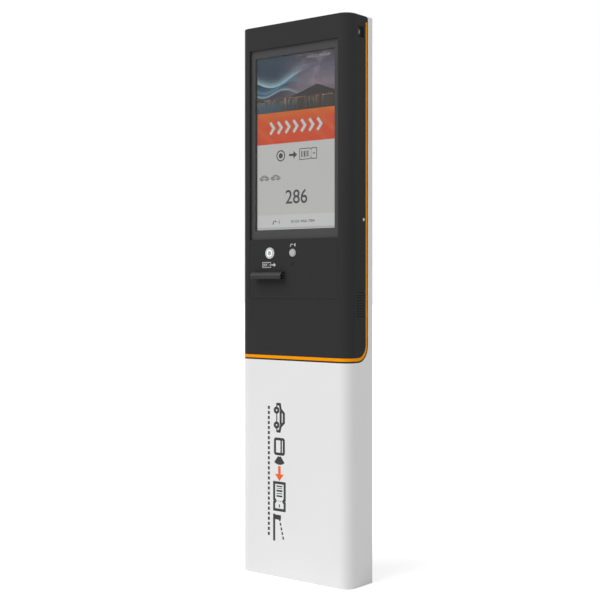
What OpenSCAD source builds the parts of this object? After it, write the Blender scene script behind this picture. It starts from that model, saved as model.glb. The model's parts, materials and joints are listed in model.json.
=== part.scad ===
// Parking ticket dispenser: a slim floor pillar with a display, a ticket mouth and an intercom.
// The origin is the centre of the four anchor holes, on the ground.
// X runs to the user's right, Y to the back and Z up.

/* [Pillar] */
// Height of the pillar
total_h = 1310; // [1280:5:1380]
// Width of the pillar
total_w = 324; // [320:1:350]
// Depth of the pillar
total_d = 95; // [93:1:110]
// Radius of the two front edges
corner_r = 27; // [25:0.5:28]
// Radius of the two rear edges
rear_r = 1.5; // [1:0.1:1.9]
// Thickness of the housing's sheet steel
wall = 2; // [1.5:0.1:2.2]

/* [Base] */
// Thickness of the base plate
base_t = 8; // [6:0.5:12]
// Distance between the anchor holes along X
anchor_span_x = 240; // [200:5:250]
// Distance between the anchor holes along Y
anchor_span_y = 56; // [46:1:60]
// Diameter of the anchor holes
anchor_d = 12; // [10:0.5:14]
// Clear diameter of the cable grommet
grommet_bore = 40; // [30:1:44]

/* [Door] */
// Height of the door
door_h = 793; // [785:1:810]
// Gap between the door and the housing
door_gap = 3.8; // [2.4:0.1:3.8]
// Thickness of the door's sheet
door_wall = 2; // [1.5:0.1:2.2]
// Depth of the housing's strip behind the door
strip_d = 18.8; // [18:0.1:20]
// Radius of the door's lower rear corners
door_edge_r = 34; // [30:1:38]
// Width of the coloured trim along the door's rear edges
trim_w = 4.8; // [4.8:0.1:6]
// Width of the coloured trim along the door's lower edge
trim_h = 7.4; // [6:0.1:9]
// Thickness of the edge trim
trim_t = 3.5; // [3.3:0.1:3.6]
// Distance from the pillar's top to the trim's ends
trim_drop = 13.6; // [10:0.2:20]

/* [Display] */
// Distance from the pillar's side to the opening in the door's front
side_margin = 30; // [29:0.5:34]
// Distance from the pillar's top to the opening
opening_drop = 55.4; // [54:0.2:70]
// Distance from the picture to the bottom of the glass
picture_rise = 23.4; // [20:0.2:26]
// Depth of the glass behind the door's front
recess_d = 5.5; // [5:0.1:6.5]
// Thickness of the glass
glass_t = 3; // [3:0.5:5]
// Distance from the side of the opening to the picture
picture_margin = 15.4; // [14:0.2:20]
// Height of the picture
picture_h = 409.4; // [400:0.2:415]
// Distance from the top of the opening to the picture
picture_drop = 22.2; // [18:0.2:24]
// Thickness of the display module
module_t = 12; // [10:0.5:14]

/* [Control panel] */
// Height of the control panel plate
panel_h = 140.6; // [136:0.2:150]
// Thickness of the control panel plate
panel_t = 3; // [2.5:0.1:3.4]
// Distance from the side of the opening to the axis of the ticket button and the mouth
ticket_inset = 63; // [60:0.5:72]
// Distance from the top of the panel to the button axes
button_drop = 32.6; // [30:0.2:35]
// Diameter of the ticket button's bezel
ticket_bezel_d = 27.4; // [26:0.2:31]
// Travel of the ticket button
ticket_travel = 2.5; // [1.5:0.1:3]
// Diameter of the intercom button's bezel
call_bezel_d = 19; // [18.4:0.2:23]
// Travel of the intercom button
call_travel = 1.5; // [1:0.1:2]
// Distance from the top of the panel to the microphone
mic_drop = 59; // [56:0.2:64]

/* [Ticket mouth] */
// Distance from the top of the panel to the ticket's path
mouth_drop = 87.5; // [86:0.5:92]
// Width of the paper
paper_w = 80; // [76:1:80]
// Width of the hood
hood_w = 92; // [91:0.5:94]
// Reach of the hood in front of the panel
hood_out = 18.5; // [17:0.5:22]
// Height of the hood
hood_h = 17.4; // [16:0.2:19]
// Outer radius of the hood's bend
hood_r = 13; // [10:0.5:14]

/* [Side] */
// Distance from the pillar's top to the lock
lock_drop = 38; // [36:0.5:40]
// Distance from the door's rear edge to the lock
lock_inset = 27.1; // [27:0.1:30]
// Width of the lock's recess, front to back
lock_recess_w = 22; // [20:0.1:22.2]
// Height of the lock's recess
lock_recess_h = 24.8; // [22:0.2:26]
// Height of the grille's centre above the door's lower edge
grille_rise = 129.5; // [120:0.5:140]
// Distance between the grille's rows
grille_pitch_z = 6.1; // [5.6:0.1:6.6]
// Height of the side screws above the picture's lower edge
side_screw_rise = 19; // [16:1:30]
// Distance from the door's rear edge to the side screws
side_screw_inset = 12.8; // [12.6:0.1:16]

/* [Hinges] */
// Radius of the hinge knuckles
knuckle_r = 4; // [3.5:0.1:4]
// Radius of the hinge pins
hinge_pin_r = 2; // [1.5:0.1:2]
// Length of each hinge
hinge_h = 40; // [30:1:50]

/* [Printer] */
// Radius of the platen roller
platen_r = 8; // [7.5:0.1:8.2]
// Module of the feed gears
gear_module = 0.8; // [0.78:0.01:0.8]
// Teeth of the platen gear
platen_teeth = 24; // [24:1:25]
// Teeth of the idler gear
idler_teeth = 20; // [20:1:21]
// Teeth of the motor gear
motor_teeth = 12; // [12:1:13]
// Travel of the moving blade
blade_travel = 4.5; // [4:0.1:5]

/* [Electronics] */
// Thickness of the mounting plate
plate_t = 2; // [1.5:0.1:2.5]
// Distance between the mounting plate and the housing's rear wall
spacer_h = 3; // [2.5:0.1:4]
// Distance between a circuit board and the mounting plate
board_rise = 8; // [6:0.5:10]

/* [Hidden] */
$fn = 64;

// Clearance between two pieces that are dropped into each other
slip = 0.3;
// Radial clearance of a shaft that turns in its bore
running = 0.05;
// Radial clearance of a nut on its stud and of a gear on its shaft
snug = 0.02;
// Radial clearance of a screw or a stud in a drilled hole
hole_slip = 0.2;
// Overshoot of a cut past the surface that it opens
cut = 1;

// The planes that the pieces are measured from
front = -total_d / 2;
rear_in = total_d / 2 - wall;
right = total_w / 2;
door_z = total_h - door_h;
door_d = total_d - strip_d - door_gap;
door_rear = front + door_d;
trim_lift = trim_h - trim_w;
door_in = right - door_wall;
opening_half = right - side_margin;
picture_half = opening_half - picture_margin;
ticket_x = ticket_inset - opening_half;

// Heights, from the top down
opening_z = total_h - opening_drop;
picture_z = opening_z - picture_drop - picture_h;
glass_z = picture_z - picture_rise;
panel_z = glass_z - panel_h;
button_z = glass_z - button_drop;
mic_z = glass_z - mic_drop;
paper_z = glass_z - mouth_drop;
lock_z = total_h - lock_drop;
side_screw_z = picture_z + side_screw_rise;

// A block between two limits on each axis
module block(x, y, z) {
    translate([x[0], y[0], z[0]]) cube([x[1] - x[0], y[1] - y[0], z[1] - z[0]]);
}

// The same block on the left and on the right
module both(x, y, z) {
    block(x, y, z);
    block([-x[1], -x[0]], y, z);
}

// Round bars along each axis, given their two ends and the place of their axis
module bar_x(x, y, z, r) {
    translate([x[0], y, z]) rotate([0, 90, 0]) cylinder(h = x[1] - x[0], r = r);
}

module bar_y(y, x, z, r) {
    translate([x, y[0], z]) rotate([-90, 0, 0]) cylinder(h = y[1] - y[0], r = r);
}

module bar_z(z, x, y, r) {
    translate([x, y, z[0]]) cylinder(h = z[1] - z[0], r = r);
}

// A side view, drawn as Y and Z, carried along X
module along_x(x) {
    translate([x[0], 0, 0]) rotate([90, 0, 90]) linear_extrude(x[1] - x[0]) children();
}

// A six-sided nut along Y on a stud, from its seat backwards
module nut_y(x, y, z, across, h, stud) {
    difference() {
        translate([x, y, z]) rotate([-90, 0, 0]) cylinder(h = h, d = across / cos(30), $fn = 6);
        bar_y([y - cut, y + h + cut], x, z, stud + snug);
    }
}

// A screw along Y: its head in front of the seat and its shank behind it
module screw_y(x, y, z, r, head_r, head_h, length) {
    bar_y([y - head_h, y], x, z, head_r);
    bar_y([y - head_h / 2, y + length], x, z, r);
}

// Plan of the pillar, drawn in by inset, from its front to the depth given
module plan(inset, depth) {
    r = corner_r - inset;
    half = right - inset;
    translate([-half, front + corner_r]) square([2 * half, depth - corner_r]);
    translate([-half + r, front + inset]) square([2 * (half - r), corner_r]);
    for (side = [-1, 1]) translate([side * (half - r), front + corner_r]) circle(r);
}

// Plan of the whole pillar, with its small rear radii
module footprint() {
    plan(0, total_d - rear_r);
    translate([-right + rear_r, 0]) square([total_w - 2 * rear_r, total_d / 2]);
    for (side = [-1, 1]) translate([side * (right - rear_r), total_d / 2 - rear_r]) circle(rear_r);
}

// Wall that follows the plan between two insets, open at the back
module plan_wall(outer, inner, depth, z) {
    translate([0, 0, z[0]]) linear_extrude(z[1] - z[0]) difference() {
        plan(outer, depth);
        plan(inner, depth + cut);
    }
}

// Side view of the door, grown past its rear and lower edges by a distance, its lower edge then lifted
module door_side(grow, top, lift = 0) {
    r = door_edge_r + grow;
    y = door_rear + grow;
    z = door_z - grow + lift;
    low = front - 2 * cut;
    translate([low, z + r]) square([y - low, top - z - r]);
    translate([low, z]) square([y - r - low, r + cut]);
    translate([y - r, z + r]) circle(r);
}

// Band along the door's edge between two distances from it
module edge_band(outer, inner, top, lift = 0) {
    difference() {
        door_side(outer, top);
        door_side(inner, top + cut, lift);
    }
}

// Hinge places: axis, lower ends and the notch that each needs
hinge_x = -right;
hinge_y = door_rear + door_gap / 2;
hinge_rise = 14;
hinge_drop = 50;
hinge_zs = [door_z + door_edge_r + hinge_rise, total_h - hinge_drop - hinge_h];
hinge_slip = 0.5;
leaf_t = 2;

module hinge_notches(reach) {
    for (z = hinge_zs)
        block([hinge_x - cut, hinge_x + reach],
            [hinge_y - knuckle_r - hinge_slip, hinge_y + knuckle_r + hinge_slip],
            [z - hinge_slip, z + hinge_h + hinge_slip]);
}

// White housing: lower box, rear strip, cap and the flanges that carry the seal
flange_w = 12;

module housing() {
    color("#e6e6e6") difference() {
        union() {
            difference() {
                linear_extrude(total_h) footprint();
                translate([0, 0, -cut]) linear_extrude(total_h - wall + cut) plan(wall, total_d - wall);
                along_x([-total_w, total_w]) door_side(door_gap, total_h + cut);
            }
            intersection() {
                plan_wall(wall / 2, wall + flange_w, total_d - wall, [0, total_h - wall / 2]);
                along_x([-total_w, total_w]) edge_band(door_gap + wall, door_gap, total_h);
            }
            block([-right + wall / 2, right - wall / 2], [door_rear + door_gap, door_rear + door_gap + wall],
                [total_h - wall - flange_w, total_h - wall / 2]);
        }
        hinge_notches(knuckle_r + hinge_slip);
    }
}

// Anchored base plate inside the foot of the housing
grommet_wall = 4;
grommet_lip = 5;
grommet_rise = 4;
grommet_h = base_t + grommet_rise;

module base_plate() {
    color("#a9adb0") difference() {
        linear_extrude(base_t) plan(wall, total_d - wall);
        for (x = [-1, 1])
            for (y = [-1, 1])
                bar_z([-cut, base_t + cut], x * anchor_span_x / 2, y * anchor_span_y / 2, anchor_d / 2);
        bar_z([-cut, base_t + cut], 0, 0, grommet_bore / 2 + grommet_wall);
    }
}

module cable_grommet() {
    color("#1c1c1c") difference() {
        union() {
            bar_z([slip, grommet_h], 0, 0, grommet_bore / 2 + grommet_wall);
            bar_z([base_t, grommet_h], 0, 0, grommet_bore / 2 + grommet_wall + grommet_lip);
        }
        bar_z([-cut, grommet_h + cut], 0, 0, grommet_bore / 2);
    }
}

// Foam seal in the gap round the door, glued to the housing's flanges
seal_slip = 0.6;
seal_t = door_gap - seal_slip;
seal_inset = 0.2;
seal_w = 9.4;

module door_seal() {
    edge = right - seal_inset;
    color("#202020") difference() {
        union() {
            intersection() {
                plan_wall(seal_inset, seal_inset + seal_w, total_d, [0, total_h - wall - seal_inset]);
                along_x([-total_w, total_w]) edge_band(door_gap, door_gap - seal_t, total_h);
            }
            block([-edge, edge], [door_rear + door_gap - seal_t, door_rear + door_gap],
                [total_h - wall - seal_inset - seal_w, total_h - wall - seal_inset]);
        }
        hinge_notches(leaf_in + leaf_t + slip - hinge_x);
    }
}

// Mounting plate on threaded spacers that are welded to the rear wall, with posts for the boards
plate_front = rear_in - spacer_h - plate_t;
plate_margin = 17;
plate_drop = 62;
plate_half = right - plate_margin;
plate_top = total_h - plate_drop;
tab_t = 2;
tab_w = 12;
screw_r = 2;
screw_hole_r = 2.2;
screw_head_r = 3.5;
screw_head_h = 2.6;
tab_over = 1;
tab_length = plate_t + tab_over;
small_screw_r = 1.5;
small_hole_r = 1.7;
small_head_r = 2.75;
small_head_h = 2;
spacer_r = 5;
post_r = 3;

// Printer frame and its place on the plate
frame_side = 6;
frame_below = 22;
frame_above = 36;
frame_set = 14;
frame_half = paper_w / 2 + frame_side;
frame_t = 2;
frame_low = paper_z - frame_below;
frame_top = paper_z + frame_above;
frame_front = front + frame_set;

// Full paper roll, as thick as the room between the panel and the plate allows
roll_front_gap = 9;
roll_back_gap = 3;
roll_drop = 92;
roll_r = (plate_front - roll_back_gap - front - roll_front_gap) / 2;
roll_y = front + roll_front_gap + roll_r;
roll_z = paper_z - roll_drop;
plate_foot = 41;
plate_low = roll_z - plate_foot;

// Power supply
supply_inset = 44;
supply_w = 97;
supply_rise = 38;
supply_h = 159;
supply_d = 30;
supply_x = [-right + supply_inset, -right + supply_inset + supply_w];
supply_z = [picture_z + supply_rise, picture_z + supply_rise + supply_h];

// Controller board
board_t = 1.6;
board_inset = 50;
board_w = 170;
board_lift = 260;
board_h = 120;
board_x = [right - board_inset - board_w, right - board_inset];
board_z = [picture_z + board_lift, picture_z + board_lift + board_h];
board_edge = 5;
board_y = plate_front - board_rise - board_t;

// Intercom board
call_board_inset = 42;
call_board_w = 90;
call_board_rise = 32;
call_board_h = 70;
call_board_x = [right - call_board_inset - call_board_w, right - call_board_inset];
call_board_z = [panel_z + call_board_rise, panel_z + call_board_rise + call_board_h];

// Terminal strip
strip_inset = 38;
strip_w = 112;
strip_rise = 100;
strip_x = [right - strip_inset - strip_w, right - strip_inset];
strip_z = picture_z + strip_rise;
strip_tab = 14;
strip_tab_h = 16;
terminal_count = 10;
terminal_h = 44;
terminal_d = 34;

// Points on the plate, as X and Z, where a tab is screwed on
holder_half = 16;
holder_screw = 10;
screw_inset = 8;
supply_screw = 12;
tab_points = [
    for (side = [-1, 1])
        for (z = [frame_low + screw_inset, frame_top - screw_inset])
            [ticket_x + side * (frame_half + tab_w / 2), z],
    for (z = [roll_z - holder_screw, roll_z + holder_screw])
        [ticket_x - frame_half - tab_w / 2, z],
    for (x = [supply_x[0] + supply_screw, supply_x[1] - supply_screw])
        for (z = [supply_z[0] - tab_w / 2, supply_z[1] + tab_w / 2])
            [x, z],
    for (x = [strip_x[0] + strip_tab / 2, strip_x[1] - strip_tab / 2])
        [x, strip_z]
];

// Points where the plate is screwed to the rear wall through a spacer
wall_screw_edge = 12;
wall_screw_x = plate_half - wall_screw_edge;
wall_screw_inset = 10;
wall_points = [
    for (x = [-wall_screw_x, wall_screw_x])
        for (z = [plate_low + wall_screw_inset, (plate_low + plate_top) / 2, plate_top - wall_screw_inset])
            [x, z]
];

// Points where a board's posts stand
board_points = [
    for (x = [board_x[0] + board_edge, board_x[1] - board_edge])
        for (z = [board_z[0] + board_edge, board_z[1] - board_edge])
            [x, z],
    for (x = [call_board_x[0] + board_edge, call_board_x[1] - board_edge])
        for (z = [call_board_z[0] + board_edge, call_board_z[1] - board_edge])
            [x, z]
];

module mounting_plate() {
    color("#b4b8ba") difference() {
        union() {
            block([-plate_half, plate_half], [plate_front, plate_front + plate_t], [plate_low, plate_top]);
            for (p = board_points) bar_y([plate_front - board_rise, plate_front + plate_t / 2], p[0], p[1],
                post_r);
        }
        for (p = concat(tab_points, wall_points))
            bar_y([plate_front - cut, rear_in], p[0], p[1], screw_hole_r);
        for (p = board_points)
            bar_y([plate_front - board_rise - cut, plate_front - board_rise / 3], p[0], p[1], small_screw_r);
    }
}

module spacers() {
    color("#c8cacb") for (p = wall_points) difference() {
        bar_y([plate_front + plate_t, rear_in], p[0], p[1], spacer_r);
        bar_y([plate_front, rear_in + cut], p[0], p[1], screw_r);
    }
}

module frame_screws() {
    color("#d0d2d3") {
        for (p = tab_points)
            screw_y(p[0], plate_front - tab_t, p[1], screw_r, screw_head_r, screw_head_h, tab_t + tab_length);
        for (p = wall_points)
            screw_y(p[0], plate_front, p[1], screw_r, screw_head_r, screw_head_h, plate_t + spacer_h);
    }
}

module board_screws() {
    color("#d0d2d3") for (p = board_points)
        screw_y(p[0], board_y, p[1], small_screw_r, small_head_r, small_head_h, board_t + board_rise / 2);
}

module circuit_board(x, z) {
    difference() {
        block(x, [board_y, board_y + board_t], z);
        for (px = [x[0] + board_edge, x[1] - board_edge])
            for (pz = [z[0] + board_edge, z[1] - board_edge])
                bar_y([board_y - cut, board_y + board_t + cut], px, pz, small_hole_r);
    }
}

// Controller board with a row of cable sockets along its lower edge
socket_count = 6;
socket_w = 18;
socket_h = 14;
socket_d = 12;
socket_t = 2;

module controller_board() {
    room = board_x[1] - board_x[0] - 4 * board_edge - socket_w;
    color("#1e5b38") {
        circuit_board(board_x, board_z);
        for (i = [0 : socket_count - 1]) {
            x = board_x[0] + 2 * board_edge + i * room / (socket_count - 1);
            z = board_z[0] + socket_t;
            difference() {
                block([x, x + socket_w], [board_y - socket_d, board_y], [z, z + socket_h]);
                block([x + socket_t, x + socket_w - socket_t],
                    [board_y - socket_d + socket_t, board_y - socket_t],
                    [z - cut, z + socket_h - 2 * socket_t]);
            }
        }
    }
}

// Finned heat sink on the controller's processor
sink_w = 48;
sink_base = 3;
sink_h = 18;
sink_inset = 26;
sink_rise = 46;
fin_count = 9;
fin_t = 1.4;

module controller_heatsink() {
    x = board_x[0] + sink_inset;
    z = board_z[0] + sink_rise;
    step = (sink_w - fin_t) / (fin_count - 1);
    color("#9ea2a5") {
        block([x, x + sink_w], [board_y - sink_base, board_y], [z, z + sink_w]);
        for (i = [0 : fin_count - 1])
            block([x + i * step, x + i * step + fin_t], [board_y - sink_h, board_y - sink_base],
                [z, z + sink_w]);
    }
}

// Enclosed power supply with a vented cover, a slot for its cables and two screw tabs at each end
vent_r = 2.2;
vent_pitch = 9;
vent_d = 2;
supply_slot_h = 18;
supply_slot_d = 9;
supply_slot_inset = 8;

module power_supply() {
    y = plate_front - supply_d;
    mid_x = (supply_x[0] + supply_x[1]) / 2;
    mid_z = (supply_z[0] + supply_z[1]) / 2;
    color("#b9bcbe") difference() {
        union() {
            block(supply_x, [y, plate_front], supply_z);
            block(supply_x, [plate_front - tab_t, plate_front], [supply_z[0] - tab_w, supply_z[1] + tab_w]);
        }
        for (i = [-3 : 3])
            for (j = [-4 : 4])
                bar_y([y - cut, y + vent_d], mid_x + i * vent_pitch, mid_z + j * vent_pitch, vent_r);
        block([supply_x[0] + supply_slot_inset, supply_x[1] - supply_slot_inset],
            [y - cut, y + supply_slot_d],
            [supply_z[0] - cut, supply_z[0] + supply_slot_h]);
        for (p = tab_points)
            bar_y([plate_front - tab_t - cut, plate_front + cut], p[0], p[1], screw_hole_r);
    }
}

// Row of terminals for the cables from the ground, each with a clamping screw and a wire entry at both ends
terminal_groove = 0.6;
terminal_screw_r = 2.2;
terminal_screw_z = 9;
terminal_entry_z = 18;
terminal_entry = [5, 12, 6];

module terminal_strip() {
    x = [strip_x[0] + strip_tab, strip_x[1] - strip_tab];
    y = plate_front - terminal_d;
    z = [strip_z - terminal_h / 2, strip_z + terminal_h / 2];
    step = (x[1] - x[0]) / terminal_count;
    color("#8d949a") difference() {
        union() {
            block(x, [y, plate_front], z);
            block(strip_x, [plate_front - tab_t, plate_front],
                [strip_z - strip_tab_h / 2, strip_z + strip_tab_h / 2]);
        }
        for (i = [1 : terminal_count - 1]) {
            groove = x[0] + i * step;
            block([groove - terminal_groove / 2, groove + terminal_groove / 2],
                [y - cut, y + terminal_d / 12],
                [z[0] - cut, z[1] + cut]);
        }
        for (i = [0 : terminal_count - 1])
            for (s = [-1, 1]) {
                mid = x[0] + (i + 0.5) * step;
                entry_z = strip_z + s * terminal_entry_z;
                bar_y([y - cut, y + terminal_entry[1] / 2], mid, strip_z + s * terminal_screw_z,
                    terminal_screw_r);
                block([mid - terminal_entry[0] / 2, mid + terminal_entry[0] / 2],
                    [y - cut, y + terminal_entry[1]],
                    [entry_z - terminal_entry[2] / 2, entry_z + terminal_entry[2] / 2]);
            }
        for (p = tab_points)
            bar_y([plate_front - tab_t - cut, plate_front + cut], p[0], p[1], screw_hole_r);
    }
}

// Intercom board with its transformer and its amplifier, each as inset, width, height and lower edge
transformer = [14, 30, 30, 20];
transformer_d = 11;
amplifier = [56, 22, 46, 12];
amplifier_d = 8;

module on_call_board(part, d) {
    x = call_board_x[0] + part[0];
    z = call_board_z[0] + part[3];
    block([x, x + part[1]], [board_y - d, board_y], [z, z + part[2]]);
}

module intercom_board() {
    color("#1e5b38") {
        circuit_board(call_board_x, call_board_z);
        on_call_board(transformer, transformer_d);
        on_call_board(amplifier, amplifier_d);
    }
}

// Printer: the platen above the paper, the head below it, the feed gears outside the right plate
paper_t = 0.2;
platen_set = 38;
platen_y = front + platen_set;
platen_z = paper_z + paper_t + slip + platen_r;
shaft_r = 3;
bush_r = 5;
bush_lip = 1;
pivot_set = 24;
pivot_drop = 9;
pivot_y = platen_y + pivot_set;
pivot_z = paper_z - pivot_drop;
pivot_r = 2;
motor_set = 28;
motor_rise = 17;
motor_y = platen_y + motor_set;
motor_z = paper_z + motor_rise;
motor_r = 12;
motor_shaft_r = 1.5;
motor_l = 18;
gear_w = 5;
idler_pin_r = 2;
gear_x = ticket_x + frame_half + slip;

function pitch_r(teeth) = teeth * gear_module / 2;
function angle_to(a, b) = atan2(b[1] - a[1], b[0] - a[0]);

// The idler stands where it meshes with both of its neighbours, above the line between them
platen_at = [platen_y, platen_z];
motor_at = [motor_y, motor_z];
near_r = pitch_r(platen_teeth) + pitch_r(idler_teeth);
far_r = pitch_r(idler_teeth) + pitch_r(motor_teeth);
span = norm(motor_at - platen_at);
span_a = angle_to(platen_at, motor_at);
idler_a = span_a + acos((span * span + near_r * near_r - far_r * far_r) / (2 * span * near_r));
idler_at = platen_at + near_r * [cos(idler_a), sin(idler_a)];

// Turns of the three gears that bring a tooth of each to a gap of the next
platen_turn = idler_a;
idler_turn = meshed_turn(idler_a, platen_turn, platen_teeth, idler_teeth);
motor_a = angle_to(idler_at, motor_at);
motor_turn = meshed_turn(motor_a, idler_turn, idler_teeth, motor_teeth);
function meshed_turn(a, turn, teeth, next_teeth) =
    a + 180 - 180 / next_teeth - (turn - a) * teeth / next_teeth;

// Involute gear outline, thinned at the flanks for its play
pressure_a = 20;
flank_play = 0.09;
function roll_a(r, base) = r <= base ? 0 : sqrt(pow(r / base, 2) - 1) * 180 / PI - acos(base / r);
function half_tooth(r, teeth) =
    let (base = pitch_r(teeth) * cos(pressure_a))
    90 / teeth - flank_play / pitch_r(teeth) * 180 / PI + roll_a(pitch_r(teeth), base) - roll_a(r, base);
function polar(r, a) = [r * cos(a), r * sin(a)];
function tooth_radii(teeth) =
    let (base = pitch_r(teeth) * cos(pressure_a), tip = pitch_r(teeth) + 0.9 * gear_module)
    let (low = max(base, pitch_r(teeth) - 1.1 * gear_module))
    [low, (2 * low + tip) / 3, (low + 2 * tip) / 3, tip];
function tooth(a, teeth) =
    let (radii = tooth_radii(teeth), root = pitch_r(teeth) - 1.25 * gear_module)
    concat(
        [polar(root, a - half_tooth(radii[0], teeth))],
        [for (r = radii) polar(r, a - half_tooth(r, teeth))],
        [for (i = [3 : -1 : 0]) polar(radii[i], a + half_tooth(radii[i], teeth))],
        [polar(root, a + half_tooth(radii[0], teeth))]
    );

module gear(at, teeth, turn, bore_r) {
    difference() {
        along_x([gear_x, gear_x + gear_w]) translate(at)
            polygon([for (k = [0 : teeth - 1]) for (p = tooth(turn + k * 360 / teeth, teeth)) p]);
        bar_x([gear_x - cut, gear_x + gear_w + cut], at[0], at[1], bore_r);
    }
}

cutter_y = [front + 20, front + 33];
top_plate_back = 8;
spring_seat = 12;
shaft_end = 1;
motor_window = 1.5;

module printer_frame() {
    x = [frame_half - frame_t, frame_half];
    z = [frame_low, frame_top];
    color("#a3a8ab") difference() {
        union() {
            for (side = [0, 1]) translate([ticket_x, 0, 0]) mirror([side, 0, 0]) {
                block(x, [frame_front, plate_front], z);
                block([frame_half - frame_t, frame_half + tab_w], [plate_front - tab_t, plate_front], z);
            }
            translate([ticket_x, 0, 0]) {
                block([-frame_half, frame_half], [cutter_y[0], plate_front - top_plate_back],
                    [frame_top - frame_t, frame_top]);
                block([-frame_half, frame_half], [platen_y - spring_seat / 2, platen_y + spring_seat / 2],
                    [frame_low, frame_low + frame_t]);
            }
            bar_x([ticket_x + frame_half - cut, gear_x + gear_w + shaft_end], idler_at[0], idler_at[1],
                idler_pin_r);
        }
        bar_x([ticket_x - right, ticket_x + right], platen_y, platen_z, bush_r);
        bar_x([ticket_x - right, ticket_x + right], pivot_y, pivot_z, pivot_r + running);
        bar_x([ticket_x, ticket_x + right], motor_y, motor_z, motor_shaft_r + motor_window);
        for (p = tab_points)
            bar_y([plate_front - tab_t - cut, plate_front + cut], p[0], p[1], screw_hole_r);
    }
}

module platen_bushes() {
    color("#c9a13b") for (side = [0, 1]) translate([ticket_x, 0, 0]) mirror([side, 0, 0]) difference() {
        union() {
            bar_x([frame_half - frame_t, frame_half], platen_y, platen_z, bush_r);
            bar_x([frame_half - frame_t - bush_lip, frame_half - frame_t], platen_y, platen_z,
                bush_r + bush_lip);
        }
        bar_x([0, right], platen_y, platen_z, shaft_r + running);
    }
}

// Rubber roller on its steel shaft, with the platen gear outside the right plate
module platen_roller() {
    color("#303234") union() {
        bar_x([ticket_x - frame_half - shaft_end, gear_x + gear_w + shaft_end], platen_y, platen_z, shaft_r);
        bar_x([ticket_x - paper_w / 2, ticket_x + paper_w / 2], platen_y, platen_z, platen_r);
    }
}

module platen_gear() {
    color("#e9e7e0") gear(platen_at, platen_teeth, platen_turn, shaft_r + snug);
}

module idler_gear() {
    color("#e9e7e0") gear(idler_at, idler_teeth, idler_turn, idler_pin_r + running);
}

motor_shaft_in = 6;
motor_bore_d = 8;

module motor_gear() {
    color("#c9a13b") {
        gear(motor_at, motor_teeth, motor_turn, motor_shaft_r / 2);
        bar_x([ticket_x + frame_half - frame_t - motor_shaft_in, gear_x + gear_w], motor_y, motor_z,
            motor_shaft_r);
    }
}

module feed_motor() {
    x = ticket_x + frame_half - frame_t;
    color("#8b8f92") difference() {
        bar_x([x - motor_l, x], motor_y, motor_z, motor_r);
        bar_x([x - motor_bore_d, x + cut], motor_y, motor_z, motor_shaft_r + running);
    }
}

// Print head plate with its cooling block and the two ears that carry it on its pivot
head_y = [front + 30, front + 48];
head_gap = 0.3;
head_t = 5;
head_top = paper_z - head_gap;
ear_t = 2;
ear_x = [frame_half - frame_t - head_gap - ear_t, frame_half - frame_t - head_gap];
ear_r = 4;
ear_set = 3;
cooler_count = 13;
cooler_pitch = 6;
cooler_t = 2;
cooler_top = 4;
cooler_low = 13;

module print_head() {
    color("#7d8286") translate([ticket_x, 0, 0]) {
        block([-ear_x[0], ear_x[0]], head_y, [head_top - head_t, head_top]);
        for (i = [0 : cooler_count - 1])
            translate([(i - (cooler_count - 1) / 2) * cooler_pitch, 0, 0])
                block([-cooler_t / 2, cooler_t / 2], head_y,
                    [head_top - cooler_low, head_top - cooler_top]);
        for (side = [0, 1]) mirror([side, 0, 0]) {
            block(ear_x, [head_y[0], pivot_y], [pivot_z - ear_r, head_top - ear_set]);
            bar_x(ear_x, pivot_y, pivot_z, ear_r);
            bar_x([ear_x[0], frame_half + shaft_end], pivot_y, pivot_z, pivot_r);
        }
    }
}

// Coil spring that presses the head up, swept along its helix
spring_r = 3;
wire_r = 0.4;
spring_turns = 4;
spring_low = frame_low + frame_t;
spring_top = head_top - cooler_low;
spring_x = cooler_pitch / 2;
ring_steps = 12;
wire_sides = 6;

function helix_point(i) =
    let (a = i * 360 / ring_steps, f = i / (ring_steps * spring_turns))
    [spring_r * cos(a), spring_r * sin(a), spring_low + wire_r + f * (spring_top - spring_low - 2 * wire_r)];
function wire_point(i, j) =
    let (a = i * 360 / ring_steps, b = j * 360 / wire_sides, c = helix_point(i))
    c + wire_r * [cos(b) * cos(a), cos(b) * sin(a), sin(b)];

module head_spring() {
    rings = ring_steps * spring_turns;
    points = [for (i = [0 : rings]) for (j = [0 : wire_sides - 1]) wire_point(i, j)];
    sides = [
        for (i = [0 : rings - 1])
            for (j = [0 : wire_sides - 1])
                let (k = (j + 1) % wire_sides, a = i * wire_sides, b = (i + 1) * wire_sides)
                each [[a + j, b + j, b + k], [a + j, b + k, a + k]]
    ];
    start = [for (j = [1 : wire_sides - 2]) [0, j, j + 1]];
    end = [for (j = [1 : wire_sides - 2]) [rings * wire_sides, rings * wire_sides + j + 1,
        rings * wire_sides + j]];
    color("#b0b4b6") translate([ticket_x + spring_x, platen_y, 0])
        polyhedron(points, concat(sides, start, end), convexity = 10);
}

// Guillotine: the moving blade slides down in front of the fixed one
fixed_blade_y = [front + 25.3, front + 27.3];
moving_blade_y = [front + 23.6, front + 25];
blade_rise = 1.2;
blade_h = 20;
blade_tab = 6;
drive_half = 24;
drive_gap = 1.5;
blade_over = 8;
tab_gap = 2;
drive_top = 1;

module fixed_blade() {
    color("#c4c8cb") translate([ticket_x, 0, 0])
        block([frame_t - frame_half, frame_half - frame_t], fixed_blade_y, [paper_z - blade_over, head_top]);
}

module moving_blade() {
    low = paper_z + paper_t + blade_rise;
    half = frame_half - frame_t - slip;
    color("#d2d5d7") translate([ticket_x, 0, 0]) {
        block([-half, half], moving_blade_y, [low, low + blade_h]);
        block([-blade_tab, blade_tab], moving_blade_y, [low + blade_h, frame_top - frame_t - tab_gap]);
    }
}

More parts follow.
